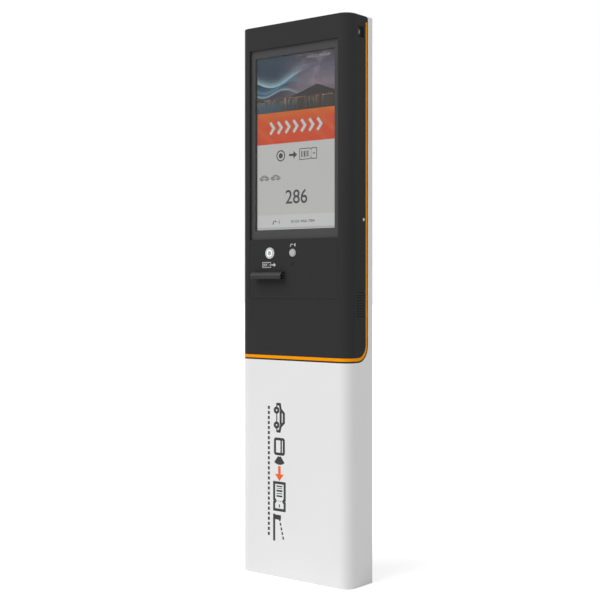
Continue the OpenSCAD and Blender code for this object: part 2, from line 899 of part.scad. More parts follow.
module cutter_drive() {
    low = paper_z + paper_t + blade_rise + blade_h + drive_gap;
    color("#4a4e51") translate([ticket_x, 0, 0]) difference() {
        block([-drive_half, drive_half], cutter_y, [low, frame_top - frame_t]);
        block([-blade_tab - slip, blade_tab + slip], [moving_blade_y[0] - slip, moving_blade_y[1] + slip],
            [low - cut, frame_top - frame_t - drive_top]);
    }
}

// Guide from the blades to the mouth
chute_half = frame_half - frame_t;
chute_gap = 2.6;
chute_t = 2.4;
chute_slip = 1;

module ticket_chute() {
    y = [front + panel_t + chute_slip, moving_blade_y[0] - chute_slip];
    color("#2a2c2e") translate([ticket_x, 0, 0]) difference() {
        block([-chute_half, chute_half], y, [paper_z - chute_gap - chute_t, paper_z + chute_gap + chute_t]);
        block([-paper_w / 2 - chute_slip, paper_w / 2 + chute_slip], [y[0] - cut, y[1] + cut],
            [paper_z - chute_gap, paper_z + chute_gap]);
    }
}

// Paper roll on a side arm, and the web from the roll to the blade
spindle_r = 6;
cap_r = 11;
cap_t = 3;
web_r = 12;
web_gap = 0.4;

module roll_holder() {
    x = ticket_x - frame_half;
    color("#a3a8ab") difference() {
        union() {
            block([x, x + frame_t], [roll_y - holder_screw, plate_front],
                [roll_z - holder_half, roll_z + holder_half]);
            block([x - tab_w, x + frame_t], [plate_front - tab_t, plate_front],
                [roll_z - holder_half, roll_z + holder_half]);
            bar_x([x + frame_t / 2, ticket_x - paper_w / 2 - 1], roll_y, roll_z, cap_r);
            bar_x([x + frame_t / 2, ticket_x + paper_w / 2 + 1 + cap_t], roll_y, roll_z, spindle_r);
        }
        for (p = tab_points)
            bar_y([plate_front - tab_t - cut, plate_front + cut], p[0], p[1], screw_hole_r);
    }
}

module roll_cap() {
    x = ticket_x + paper_w / 2 + 1;
    color("#2a2c2e") difference() {
        bar_x([x, x + cap_t], roll_y, roll_z, cap_r);
        bar_x([x - cut, x + cap_t + cut], roll_y, roll_z, spindle_r);
    }
}

module paper_roll() {
    half = paper_w / 2;
    color("#f2f0ea") difference() {
        bar_x([ticket_x - half, ticket_x + half], roll_y, roll_z, roll_r);
        bar_x([ticket_x - right, ticket_x + right], roll_y, roll_z, spindle_r + 2 * running);
    }
}

web_end = 0.6;

module paper_web() {
    y = roll_y + roll_r + web_gap;
    z = paper_z - web_r;
    half = paper_w / 2 - slip;
    end_y = moving_blade_y[1] + web_end;
    color("#f2f0ea") along_x([ticket_x - half, ticket_x + half]) {
        translate([y, roll_z]) square([paper_t, z - roll_z]);
        translate([end_y, paper_z]) square([y - web_r - end_y, paper_t]);
        intersection() {
            difference() {
                translate([y - web_r, z]) circle(web_r + paper_t);
                translate([y - web_r, z]) circle(web_r);
            }
            translate([y - web_r, z]) square(2 * web_r);
        }
    }
}

// Keeper on the rear wall: its lip stands in front of the locked cam
cam_inset = 29.5;
cam_x = right - cam_inset;
cam_t = 2.5;
cam_w = 12;
cam_l = 25;
keeper_clear = 1;
keeper_reach = 12;
keeper_past = 2;
keeper_foot = 14;
keeper_lift = 4;
keeper_x = [cam_x - keeper_reach, cam_x + cam_t + keeper_past];
lock_y = door_rear - lock_inset;
keeper_z = [lock_z + cam_w / 2 + keeper_lift, total_h - wall - flange_w - keeper_clear];
lip_rear = lock_y - cam_w / 2 - keeper_clear;
keeper_t = 2;

module lock_keeper() {
    color("#a3a8ab") {
        block(keeper_x, [lip_rear - keeper_t, lip_rear], keeper_z);
        block([keeper_x[0], keeper_x[0] + keeper_t], [lip_rear - keeper_t, rear_in], keeper_z);
        block([keeper_x[0] - keeper_foot, keeper_x[0] + keeper_t], [rear_in - keeper_t, rear_in], keeper_z);
    }
}

// Hinges on the left edge: the lower half of each turns with the door
leaf_set = 14;
leaf_w = 22;
leaf_back = 1;
leaf_y = hinge_y - leaf_set;
leaf_in = -right + trim_t + slip;

module hinge_door_leaves() {
    color("#2c2c2c") for (low = hinge_zs) {
        z = [low, low + hinge_h / 2 - hinge_slip / 2];
        difference() {
            union() {
                bar_z(z, hinge_x, hinge_y, knuckle_r);
                block([-door_in, -door_in + leaf_t], [leaf_y - leaf_w, leaf_y], z);
                block([-door_in, leaf_in + leaf_t], [leaf_y - leaf_t, leaf_y], z);
                block([leaf_in, leaf_in + leaf_t], [leaf_y - leaf_t, hinge_y - knuckle_r + leaf_back],
                    z);
                block([hinge_x + leaf_back, leaf_in + leaf_t], [hinge_y - knuckle_r + slip, hinge_y], z);
            }
            bar_z([low - cut, low + hinge_h], hinge_x, hinge_y, hinge_pin_r + running);
        }
    }
}

module hinge_frame_leaves() {
    color("#2c2c2c") for (low = hinge_zs) {
        z = [low + hinge_h / 2 + hinge_slip / 2, low + hinge_h];
        difference() {
            union() {
                bar_z(z, hinge_x, hinge_y, knuckle_r);
                block([hinge_x + leaf_back, hinge_x + wall + leaf_t], [hinge_y, hinge_y + knuckle_r], z);
                block([hinge_x + wall, hinge_x + wall + leaf_t], [hinge_y, rear_in - leaf_back], z);
            }
            bar_z([low, low + hinge_h + cut], hinge_x, hinge_y, hinge_pin_r);
        }
    }
}

// Hinge pins, pressed into the upper knuckles
module hinge_pins() {
    color("#c0c4c6") for (low = hinge_zs) bar_z([low, low + hinge_h], hinge_x, hinge_y, hinge_pin_r);
}

// Layers of the display, from the glass backwards
glass_lap = 6;
gasket_t = 1;
carrier_t = 1;
layer_step = 2;
carrier_edge = 6;
carrier_window = 3;
glass_y = front + recess_d;
gasket_y = glass_y + glass_t;
carrier_y = gasket_y + gasket_t;
module_y = carrier_y + carrier_t;
module_back = module_y + module_t;
glass_half = opening_half + glass_lap;
module_border = 11.3;
module_edge = 9.7;
driver_half = 72;
driver_t = 7;
driver_rise = 148;
driver_z = picture_z + driver_rise;
driver_h = 110;
cell_t = 1;
cell_set = 0.2;
stud_r = 2;
stud_inset = 5;
stud_clear = 0.2;
stud_end = 1;
stud_x = glass_half + stud_inset;
nut_across = 7;
nut_h = 3.2;
strap_t = 1.5;
strap_w = 24;
strap_gap = 3;
strap_rise = 108;
strap_pitch = 200;
strap_zs = [picture_z + strap_rise, picture_z + strap_rise + strap_pitch];
carrier_stud = 16;
stud_zs = concat([picture_z - carrier_stud], strap_zs, [picture_z + picture_h + carrier_stud]);

// Depth of the door's outer face at a distance from the middle
function skin_d(x) = corner_r - sqrt(pow(corner_r, 2) - pow(max(0, x - right + corner_r), 2));

// Speaker grille and the speaker behind it
leg_w = 4;
floor_gap = 1;
grille_r = 1.5;
grille_columns = 5;
grille_rows = 10;
grille_z = door_z + grille_rise;
speaker_front_gap = 6;
speaker_back_gap = 3.4;
speaker_h = 64;
speaker_w = door_d - corner_r - speaker_front_gap - trim_w - leg_w - speaker_back_gap;
grille_y = front + corner_r + speaker_front_gap + speaker_w / 2;
grille_rim = 1.8;
grille_pitch_y = (speaker_w - 2 * grille_rim) / (grille_columns - 1);

// Control panel fixings
panel_slip = 0.5;
panel_stud_inset = 10;
panel_stud_x = opening_half - panel_stud_inset;
panel_stud_rise = 18;
panel_stud_drop = 19.5;
panel_stud_zs = [panel_z + panel_stud_rise, glass_z - panel_stud_drop];
clamp_t = 1.5;
clamp_over = 7;
clamp_w = 12;
panel_lip_h = 2.5;
panel_lip_slip = 0.2;
barrel_slip = 0.15;
hood_slot_slip = 0.1;
mic_pitch = 4.6;
mic_hole_r = 1.2;
collar_r = 3.5;

// Side screws through the door's walls
side_screw_y = door_rear - side_screw_inset;
side_screw_r = 2;
side_screw_head_r = 3.5;

// Lock parts
recess_back = 3.6;
recess_r = 3;
cup_wall = 1.4;
cup_slip = 0.1;
cup_d = 5.5;
cup_t = 1.5;
cup_lip = 0.8;
cup_lip_t = 1.2;
lock_r = 6.2;
lock_collar = 0.8;
lock_collar_t = 0.8;
core_r = 4.6;
key_w = 1.6;
key_h = 6.4;
key_d = 6;
cam_stud_r = 3;
cam_nut_r = 4.5;
cam_nut_h = 3;
cam_end_slip = 0.5;

// Side view of the lock's recess, grown by the distance given
module recess_side(grow) {
    r = recess_r + grow;
    half_y = lock_recess_w / 2 + grow;
    half_z = lock_recess_h / 2 + grow;
    translate([lock_y + recess_back, lock_z]) {
        square([2 * half_y, 2 * (half_z - r)], center = true);
        square([2 * (half_y - r), 2 * half_z], center = true);
        for (i = [-1, 1])
            for (j = [-1, 1])
                translate([i * (half_y - r), j * (half_z - r)]) circle(r);
    }
}

module door_shell() {
    inner = [-opening_half, opening_half];
    stud_start = front + skin_d(stud_x + stud_r) + stud_clear;
    color("#363636") difference() {
        union() {
            intersection() {
                difference() {
                    translate([0, 0, door_z]) linear_extrude(total_h - door_z) plan(0, door_d);
                    translate([0, 0, door_z - cut])
                        linear_extrude(total_h - door_z + cut - door_wall) plan(door_wall, door_d + cut);
                }
                along_x([-total_w, total_w]) {
                    door_side(-trim_w, total_h, trim_lift);
                    translate([front - cut, total_h - trim_drop]) square([door_d + cut, trim_drop]);
                }
            }
            translate([0, 0, door_z + trim_h + leg_w + floor_gap]) linear_extrude(door_wall)
                plan(door_wall / 2, door_d - door_edge_r);
            block([inner[0] - door_wall, inner[1] + door_wall], [front + door_wall / 2, front + recess_d],
                [panel_z - door_wall, opening_z + door_wall]);
            for (x = [-stud_x, stud_x])
                for (z = stud_zs)
                    bar_y([stud_start, module_y + strap_t + nut_h + stud_end], x, z, stud_r);
        }
        block(inner, [front - cut, front + recess_d + cut], [panel_z, opening_z]);
        for (i = [0 : grille_columns - 1])
            for (j = [0 : grille_rows - 1])
                bar_x([door_in - cut, right + cut],
                    grille_y + (i - (grille_columns - 1) / 2) * grille_pitch_y,
                    grille_z + (j - (grille_rows - 1) / 2) * grille_pitch_z, grille_r);
        along_x([door_in - cut, right + cut]) recess_side(cup_wall + cup_slip);
        for (side = [0, 1]) mirror([side, 0, 0]) {
            bar_x([door_in - cut, right], side_screw_y, side_screw_z, side_screw_r + hole_slip);
            translate([door_in + hole_slip, side_screw_y, side_screw_z]) rotate([0, 90, 0])
                cylinder(h = door_wall, r1 = side_screw_r + hole_slip, r2 = side_screw_head_r + slip);
        }
    }
}

// Coloured trim: a band flush with the door and a leg behind the door's sheet
trim_slip = 0.1;

module edge_trim() {
    top = total_h - trim_drop - trim_slip;
    color("#ff9d08") difference() {
        union() {
            intersection() {
                plan_wall(0, trim_t, door_d, [door_z, top]);
                along_x([-total_w, total_w]) edge_band(0, trim_slip - trim_w, top, trim_lift);
            }
            intersection() {
                plan_wall(door_wall, trim_t, door_d, [door_z, top]);
                along_x([-total_w, total_w]) edge_band(0, -trim_w - leg_w, top, trim_lift);
            }
        }
        hinge_notches(knuckle_r + hinge_slip);
    }
}

module display_glass() {
    color([0.16, 0.17, 0.18, 0.6])
        block([-glass_half, glass_half], [glass_y, gasket_y], [glass_z - glass_lap, opening_z + glass_lap]);
}

module glass_gasket() {
    color("#1a1a1a") difference() {
        block([layer_step - glass_half, glass_half - layer_step], [gasket_y, carrier_y],
            [glass_z - glass_lap + layer_step, opening_z + glass_lap - layer_step]);
        block([-picture_half - layer_step, picture_half + layer_step], [gasket_y - cut, carrier_y + cut],
            [picture_z - layer_step, picture_z + picture_h + layer_step]);
    }
}

module display_carrier() {
    z = [glass_z - glass_lap - carrier_edge, opening_z + glass_lap + carrier_edge];
    color("#8f9497") difference() {
        block([-stud_x - carrier_edge, stud_x + carrier_edge], [carrier_y, module_y], z);
        block([-picture_half - carrier_window, picture_half + carrier_window],
            [carrier_y - cut, module_y + cut],
            [picture_z - carrier_window, picture_z + picture_h + carrier_window]);
        for (x = [-stud_x, stud_x])
            for (y = stud_zs)
                bar_y([carrier_y - cut, module_y + cut], x, y, stud_r + hole_slip);
    }
}

module display_module() {
    color("#9a9ea1") difference() {
        union() {
            block([-picture_half - module_border, picture_half + module_border], [module_y, module_back],
                [picture_z - module_edge, picture_z + picture_h + module_edge]);
            block([-driver_half, driver_half], [module_back - cut, module_back + driver_t],
                [driver_z, driver_z + driver_h]);
        }
        block([-picture_half, picture_half], [module_y - cut, module_y + cell_t],
            [picture_z, picture_z + picture_h]);
    }
}

module display_picture() {
    color("#6f7a86") block([-picture_half, picture_half], [module_y + cell_set, module_y + cell_t],
        [picture_z, picture_z + picture_h]);
}

module display_straps() {
    side = picture_half + module_border + strap_gap;
    color("#a3a8ab") for (z = strap_zs) difference() {
        union() {
            both([side, stud_x + carrier_edge], [module_y, module_y + strap_t],
                [z - strap_w / 2, z + strap_w / 2]);
            both([side, side + strap_t], [module_y, module_back + strap_t],
                [z - strap_w / 2, z + strap_w / 2]);
            block([-side - strap_t, side + strap_t], [module_back, module_back + strap_t],
                [z - strap_w / 2, z + strap_w / 2]);
        }
        for (x = [-stud_x, stud_x])
            bar_y([module_y - cut, module_y + strap_t + cut], x, z, stud_r + hole_slip);
    }
}

// Brackets from the side walls to the carrier, held by the side screws
bracket_t = 2;
bracket_h = 20;
bracket_step = 3;
bracket_in = 2;
bracket_lap = 8;
screw_land = 0.2;
screw_end = 1;

module side_brackets() {
    y_step = front + corner_r + bracket_step;
    x_in = stud_x - bracket_in;
    z = [side_screw_z - bracket_h / 2, side_screw_z + bracket_h / 2];
    color("#a3a8ab") for (side = [0, 1]) mirror([side, 0, 0]) difference() {
        union() {
            block([door_in - bracket_t, door_in], [y_step, door_rear - trim_w - leg_w - slip], z);
            block([x_in, door_in], [y_step, y_step + bracket_t], z);
            block([x_in, x_in + bracket_t], [module_y, y_step + bracket_t], z);
            block([stud_x - bracket_lap, x_in + bracket_t], [module_y, module_y + bracket_t], z);
        }
        bar_x([0, right], side_screw_y, side_screw_z, side_screw_r + hole_slip);
    }
}

// Countersunk screws through the side walls
module side_screws() {
    color("#d8dadb") for (side = [0, 1]) mirror([side, 0, 0]) {
        translate([door_in + screw_land, side_screw_y, side_screw_z]) rotate([0, 90, 0])
            cylinder(h = door_wall - screw_land, r1 = side_screw_r, r2 = side_screw_head_r);
        bar_x([door_in - bracket_t - nut_h - screw_end, right - screw_end], side_screw_y, side_screw_z,
            side_screw_r);
    }
}

// The same nut on every stud of the door and of the panel, and on the side screws
module door_nuts() {
    color("#d0d2d3") {
        for (x = [-stud_x, stud_x]) {
            for (z = [stud_zs[0], stud_zs[3]]) nut_y(x, module_y, z, nut_across, nut_h, stud_r);
            for (z = strap_zs) nut_y(x, module_y + strap_t, z, nut_across, nut_h, stud_r);
        }
        for (x = [-panel_stud_x, panel_stud_x])
            for (z = panel_stud_zs)
                nut_y(x, glass_y + clamp_t, z, nut_across, nut_h, stud_r);
        for (x = [-tab_stud_x, tab_stud_x])
            nut_y(ticket_x + x, front + panel_t + hood_t, tab_stud_z, nut_across, nut_h, stud_r);
        for (side = [0, 1]) mirror([side, 0, 0])
            translate([door_in - bracket_t - nut_h, side_screw_y, side_screw_z]) rotate([0, 90, 0])
                difference() {
                    cylinder(h = nut_h, d = nut_across / cos(30), $fn = 6);
                    translate([0, 0, -cut]) cylinder(h = nut_h + 2 * cut, r = side_screw_r + snug);
                }
    }
}

// Bent hood over the mouth, with a tab through the panel and up behind it
hood_t = 2;
hood_rise = 11;
hood_top = paper_z + hood_rise;
tab_h = 13;
tab_stud_rise = 5;
mouth_slip = 2;
tab_stud_x = 36;
tab_stud_z = hood_top + tab_stud_rise;
mouth_half = paper_w / 2 + mouth_slip;
mouth_h = 12;

module ticket_hood() {
    bend_y = front - hood_out + hood_r;
    bend_z = hood_top - hood_r;
    color("#3a3a3a") difference() {
        union() {
            along_x([ticket_x - hood_w / 2, ticket_x + hood_w / 2]) {
                translate([bend_y, hood_top - hood_t]) square([front - bend_y + panel_t + hood_t, hood_t]);
                translate([front - hood_out, hood_top - hood_h]) square([hood_t, hood_h - hood_r]);
                intersection() {
                    difference() {
                        translate([bend_y, bend_z]) circle(hood_r);
                        translate([bend_y, bend_z]) circle(hood_r - hood_t);
                    }
                    translate([bend_y - hood_r, bend_z]) square(hood_r);
                }
            }
            block([ticket_x - hood_w / 2, ticket_x + hood_w / 2],
                [front + panel_t, front + panel_t + hood_t], [hood_top - hood_t, hood_top + tab_h]);
        }
        for (x = [-tab_stud_x, tab_stud_x])
            bar_y([front, front + panel_t + hood_t + cut], ticket_x + x, tab_stud_z, stud_r + hole_slip);
    }
}

module control_panel() {
    half = opening_half - panel_slip;
    color("#353535") difference() {
        union() {
            block([-half, half], [front, front + panel_t], [panel_z + panel_slip, glass_z]);
            block([-half, half], [front, front + recess_d - panel_lip_slip],
                [glass_z - panel_lip_h, glass_z]);
            for (x = [-panel_stud_x, panel_stud_x])
                for (z = panel_stud_zs) {
                    bar_y([front + panel_t / 2, glass_y + clamp_t + nut_h + 1], x, z, stud_r);
                    bar_y([front + panel_t / 2, glass_y], x, z, collar_r);
                }
            for (x = [-tab_stud_x, tab_stud_x])
                bar_y([front + panel_t / 2, front + panel_t + hood_t + nut_h + 1], ticket_x + x, tab_stud_z,
                    stud_r);
        }
        bar_y([front - cut, front + panel_t + cut], ticket_x, button_z,
            ticket_barrel_r + barrel_slip);
        bar_y([front - cut, front + panel_t + cut], 0, button_z,
            call_barrel_r + barrel_slip);
        for (i = [-0.5, 0.5])
            for (j = [-0.5, 0.5])
                bar_y([front - cut, front + panel_t + cut], i * mic_pitch, mic_z + j * mic_pitch,
                    mic_hole_r);
        block([ticket_x - mouth_half, ticket_x + mouth_half], [front - cut, front + panel_t + cut],
            [paper_z - mouth_h / 2, paper_z + mouth_h / 2]);
        block([ticket_x - hood_w / 2 - hood_slot_slip, ticket_x + hood_w / 2 + hood_slot_slip],
            [front - cut, front + panel_t + cut],
            [hood_top - hood_t - hood_slot_slip, hood_top + hood_slot_slip]);
    }
}

module panel_clamps() {
    color("#a3a8ab") for (z = panel_stud_zs) difference() {
        both([panel_stud_x - clamp_over, opening_half + glass_lap], [glass_y, glass_y + clamp_t],
            [z - clamp_w / 2, z + clamp_w / 2]);
        for (x = [-panel_stud_x, panel_stud_x])
            bar_y([glass_y - cut, glass_y + clamp_t + cut], x, z, stud_r + hole_slip);
    }
}

// Push buttons: a bezel on the panel, a barrel through it and a cap that slides in the bore
ticket_barrel_r = 11;
ticket_bore_r = 9.2;
ticket_barrel_l = 24;
ticket_plunger_r = 4;
ticket_cap_out = 0.4;
call_barrel_r = 8.2;
call_bore_r = 7;
call_barrel_l = 22;
call_plunger_r = 3;
call_cap_out = 0.4;
cap_slip = 0.3;
cap_stop = 0.5;
bezel_h = 1;
bezel_bevel = 0.6;
bore_depth = 8;
plunger_over = 4;
blade_t = 0.8;
blade_x = 3;
blade_w = 4.8;
blade_l = 5;
ring_r = 8.6;
ring_in_r = 5.3;
ring_d = 1;
ring_rise = 0.1;

module button_body(x, bezel_r, barrel_r, bore_r, plunger_r, length) {
    difference() {
        union() {
            translate([x, front, button_z]) rotate([90, 0, 0])
                cylinder(h = bezel_h, r1 = bezel_r, r2 = bezel_r - bezel_bevel);
            bar_y([front - bezel_h / 2, front + length], x, button_z, barrel_r);
            for (s = [-blade_x, blade_x])
                block([x + s - blade_t / 2, x + s + blade_t / 2],
                    [front + length - cut, front + length + blade_l],
                    [button_z - blade_w / 2, button_z + blade_w / 2]);
        }
        bar_y([front - bezel_h - cut, front + bore_depth], x, button_z, bore_r);
        bar_y([front, front + bore_depth + plunger_over + cut + ticket_travel], x, button_z,
            plunger_r + running);
    }
}

module button_cap(x, out, cap_r, travel, plunger_r) {
    bar_y([front - bezel_h - out, front + bore_depth - travel - cap_stop], x, button_z, cap_r);
    bar_y([front, front + bore_depth + plunger_over], x, button_z, plunger_r);
}

module ring_groove(rise) {
    ring_y = front - bezel_h - ticket_cap_out;
    difference() {
        bar_y([ring_y - rise, ring_y + ring_d], ticket_x, button_z, ring_r);
        bar_y([ring_y - cut - rise, ring_y + ring_d + cut], ticket_x, button_z, ring_in_r);
    }
}

module ticket_button_body() {
    color("#c3c6c8") button_body(ticket_x, ticket_bezel_d / 2, ticket_barrel_r, ticket_bore_r,
        ticket_plunger_r, ticket_barrel_l);
}

module call_button_body() {
    color("#c3c6c8")
        button_body(0, call_bezel_d / 2, call_barrel_r, call_bore_r, call_plunger_r, call_barrel_l);
}

module ticket_button_cap() {
    color("#b3b6b8") difference() {
        button_cap(ticket_x, ticket_cap_out, ticket_bore_r - cap_slip, ticket_travel, ticket_plunger_r);
        ring_groove(cut);
    }
}

module ticket_light_ring() {
    color("#ffffff") ring_groove(ring_rise);
}

module call_button_cap() {
    color("#b3b6b8")
        button_cap(0, call_cap_out, call_bore_r - cap_slip, call_travel, call_plunger_r);
}

// Ring nuts behind the two buttons and behind the lock
ring_nut_wall = 2.5;
ring_nut_h = 4;

module panel_nuts() {
    x = right - cup_d - cup_t;
    color("#b9bcbe") {
        nut_y(ticket_x, front + panel_t, button_z, 2 * (ticket_barrel_r + ring_nut_wall), ring_nut_h,
            ticket_barrel_r);
        nut_y(0, front + panel_t, button_z, 2 * (call_barrel_r + ring_nut_wall), ring_nut_h, call_barrel_r);
        difference() {
            translate([x - ring_nut_h, lock_y, lock_z]) rotate([0, 90, 0])
                cylinder(h = ring_nut_h, r = (lock_r + ring_nut_wall) / cos(30), $fn = 6);
            bar_x([x - ring_nut_h - cut, x + cut], lock_y, lock_z, lock_r + snug);
        }
    }
}

// Microphone capsule in its rubber boot behind the panel
boot_r = 7.5;
boot_t = 3;
capsule_r = 5.5;
capsule_l = 8;
mic_space_r = 4.7;
mic_space_d = 1.5;

module microphone() {
    back = front + panel_t;
    color("#1c1c1c") difference() {
        union() {
            bar_y([back, back + boot_t], 0, mic_z, boot_r);
            bar_y([back, back + capsule_l], 0, mic_z, capsule_r);
        }
        bar_y([front, back + mic_space_d], 0, mic_z, mic_space_r);
    }
}

// Speaker against the inside of the right wall
speaker_flange = 2.5;
speaker_basket = 10;
speaker_basket_in = 2;
speaker_basket_drop = 3;
magnet_x = [18, 9];
magnet_in = 4.2;
cone_d = 1.5;
cone_in = 1.2;

module speaker() {
    y = [grille_y - speaker_w / 2, grille_y + speaker_w / 2];
    z = [grille_z - speaker_h / 2, grille_z + speaker_h / 2];
    z_in = [z[0] + speaker_basket_drop, z[1] - speaker_basket_drop];
    color("#242628") difference() {
        union() {
            block([door_in - speaker_flange, door_in], y, z);
            block([door_in - speaker_basket, door_in - speaker_flange / 2],
                [y[0] + speaker_basket_in, y[1] - speaker_basket_in], z_in);
            bar_x([door_in - magnet_x[0], door_in - magnet_x[1]], grille_y, grille_z,
                speaker_w / 2 - magnet_in);
        }
        block([door_in - cone_d, door_in + cut], [y[0] + cone_in, y[1] - cone_in], z_in);
    }
}

// Lock in the right side: cup, body, nut, then the core and cam that turn
module lock_cup() {
    color("#262626") difference() {
        union() {
            along_x([right - cup_d - cup_t, right]) recess_side(cup_wall);
            along_x([door_in - cup_lip_t, door_in]) recess_side(cup_wall + cup_lip);
        }
        along_x([right - cup_d, right + cut]) recess_side(0);
        bar_x([right - 2 * cup_d, right], lock_y, lock_z, lock_r + cup_slip);
    }
}

module lock_body() {
    color("#b9bcbe") difference() {
        union() {
            bar_x([cam_x + cam_t + cam_end_slip, right - cup_d], lock_y, lock_z, lock_r);
            bar_x([right - cup_d, right - cup_d + lock_collar_t], lock_y, lock_z, lock_r + lock_collar);
        }
        bar_x([cam_x - cut, right], lock_y, lock_z, core_r + running);
    }
}

module lock_core() {
    color("#cfd2d4") difference() {
        union() {
            bar_x([cam_x + cam_t, right - cup_d + lock_collar_t], lock_y, lock_z, core_r);
            bar_x([cam_x - cut, cam_x + cam_t + cut], lock_y, lock_z, cam_stud_r);
            bar_x([cam_x - cam_nut_h, cam_x], lock_y, lock_z, cam_nut_r);
        }
        block([right - cup_d - key_d, right], [lock_y - key_w / 2, lock_y + key_w / 2],
            [lock_z - key_h / 2, lock_z + key_h / 2]);
    }
}

module lock_cam() {
    color("#a3a8ab") difference() {
        union() {
            block([cam_x, cam_x + cam_t], [lock_y, lock_y + cam_l - cam_w / 2],
                [lock_z - cam_w / 2, lock_z + cam_w / 2]);
            bar_x([cam_x, cam_x + cam_t], lock_y, lock_z, cam_w / 2);
            bar_x([cam_x, cam_x + cam_t], lock_y + cam_l - cam_w / 2, lock_z, cam_w / 2);
        }
        bar_x([cam_x - cut, cam_x + cam_t + cut], lock_y, lock_z, cam_stud_r);
    }
}

housing();
base_plate();
cable_grommet();
door_seal();
mounting_plate();
spacers();
frame_screws();
board_screws();
controller_board();
controller_heatsink();
power_supply();
terminal_strip();
intercom_board();
printer_frame();
platen_bushes();
platen_roller();
platen_gear();
idler_gear();
motor_gear();
feed_motor();
print_head();
head_spring();
fixed_blade();
moving_blade();
cutter_drive();
ticket_chute();
roll_holder();
roll_cap();
paper_roll();
paper_web();
lock_keeper();
hinge_frame_leaves();
hinge_pins();
hinge_door_leaves();
door_shell();
edge_trim();
display_glass();
glass_gasket();
display_carrier();
display_module();
display_picture();
display_straps();
side_brackets();
side_screws();
door_nuts();
control_panel();
panel_clamps();
ticket_button_body();
ticket_button_cap();
ticket_light_ring();
call_button_body();
call_button_cap();
panel_nuts();
microphone();
ticket_hood();
speaker();
lock_cup();
lock_body();
lock_core();
lock_cam();
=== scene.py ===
import json
import math
import bmesh
import bpy
import numpy as np
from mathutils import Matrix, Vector
from mathutils.geometry import tessellate_polygon


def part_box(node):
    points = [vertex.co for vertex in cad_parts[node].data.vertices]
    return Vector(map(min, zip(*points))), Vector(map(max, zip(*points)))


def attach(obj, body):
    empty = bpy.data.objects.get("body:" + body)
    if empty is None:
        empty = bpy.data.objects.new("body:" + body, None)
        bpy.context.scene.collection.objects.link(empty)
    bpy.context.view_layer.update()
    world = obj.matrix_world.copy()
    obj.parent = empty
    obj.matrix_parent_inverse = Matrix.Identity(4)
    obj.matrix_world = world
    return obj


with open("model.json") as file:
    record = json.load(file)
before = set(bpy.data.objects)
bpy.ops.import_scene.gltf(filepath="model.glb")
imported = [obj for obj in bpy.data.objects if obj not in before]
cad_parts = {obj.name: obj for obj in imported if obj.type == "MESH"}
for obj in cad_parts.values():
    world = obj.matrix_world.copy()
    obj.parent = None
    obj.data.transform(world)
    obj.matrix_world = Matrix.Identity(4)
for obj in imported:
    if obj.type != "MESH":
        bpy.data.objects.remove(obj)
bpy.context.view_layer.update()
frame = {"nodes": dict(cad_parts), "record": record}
print("loaded", len(frame["nodes"]), "nodes")


# Camera

camera = {
    "lens": 70.38,  # mm on a 36 mm sensor
    "place": (1.7135, -2.1977, 0.6947),
    "turn": 38.185,  # degrees to the left of straight ahead
    "shiftY": -0.0274,
}


def makeCamera():
    data = bpy.data.cameras.new("photoCamera")
    data.sensor_width = 36
    data.lens = camera["lens"]
    data.shift_y = camera["shiftY"]
    eye = bpy.data.objects.new("photoCamera", data)
    eye.location = camera["place"]
    eye.rotation_euler = (math.radians(90), 0, math.radians(camera["turn"]))
    bpy.context.scene.collection.objects.link(eye)
    bpy.context.scene.camera = eye


makeCamera()
bpy.context.scene.view_settings.view_transform = "Standard"
print("camera placed")


# Shader maths


class Number:  # a number that changes over the surface: Python arithmetic on it adds Math nodes
    def __init__(self, shade, socket):
        self.shade, self.socket = shade, socket

    def math(self, operation, *others):
        return self.shade.maths(operation, self, *others)

    def __add__(self, other):
        return self.math("ADD", other)

    def __sub__(self, other):
        return self.math("SUBTRACT", other)

    def __mul__(self, other):
        return self.math("MULTIPLY", other)

    def __truediv__(self, other):
        return self.math("DIVIDE", other)

    def __rsub__(self, other):
        return self.shade.maths("SUBTRACT", other, self)

    def __rtruediv__(self, other):
        return self.shade.maths("DIVIDE", other, self)

    def __pow__(self, other):
        return self.math("POWER", other)

    def __neg__(self):
        return self.math("MULTIPLY", -1)

    def __abs__(self):
        return self.math("ABSOLUTE")

    __radd__ = __add__
    __rmul__ = __mul__


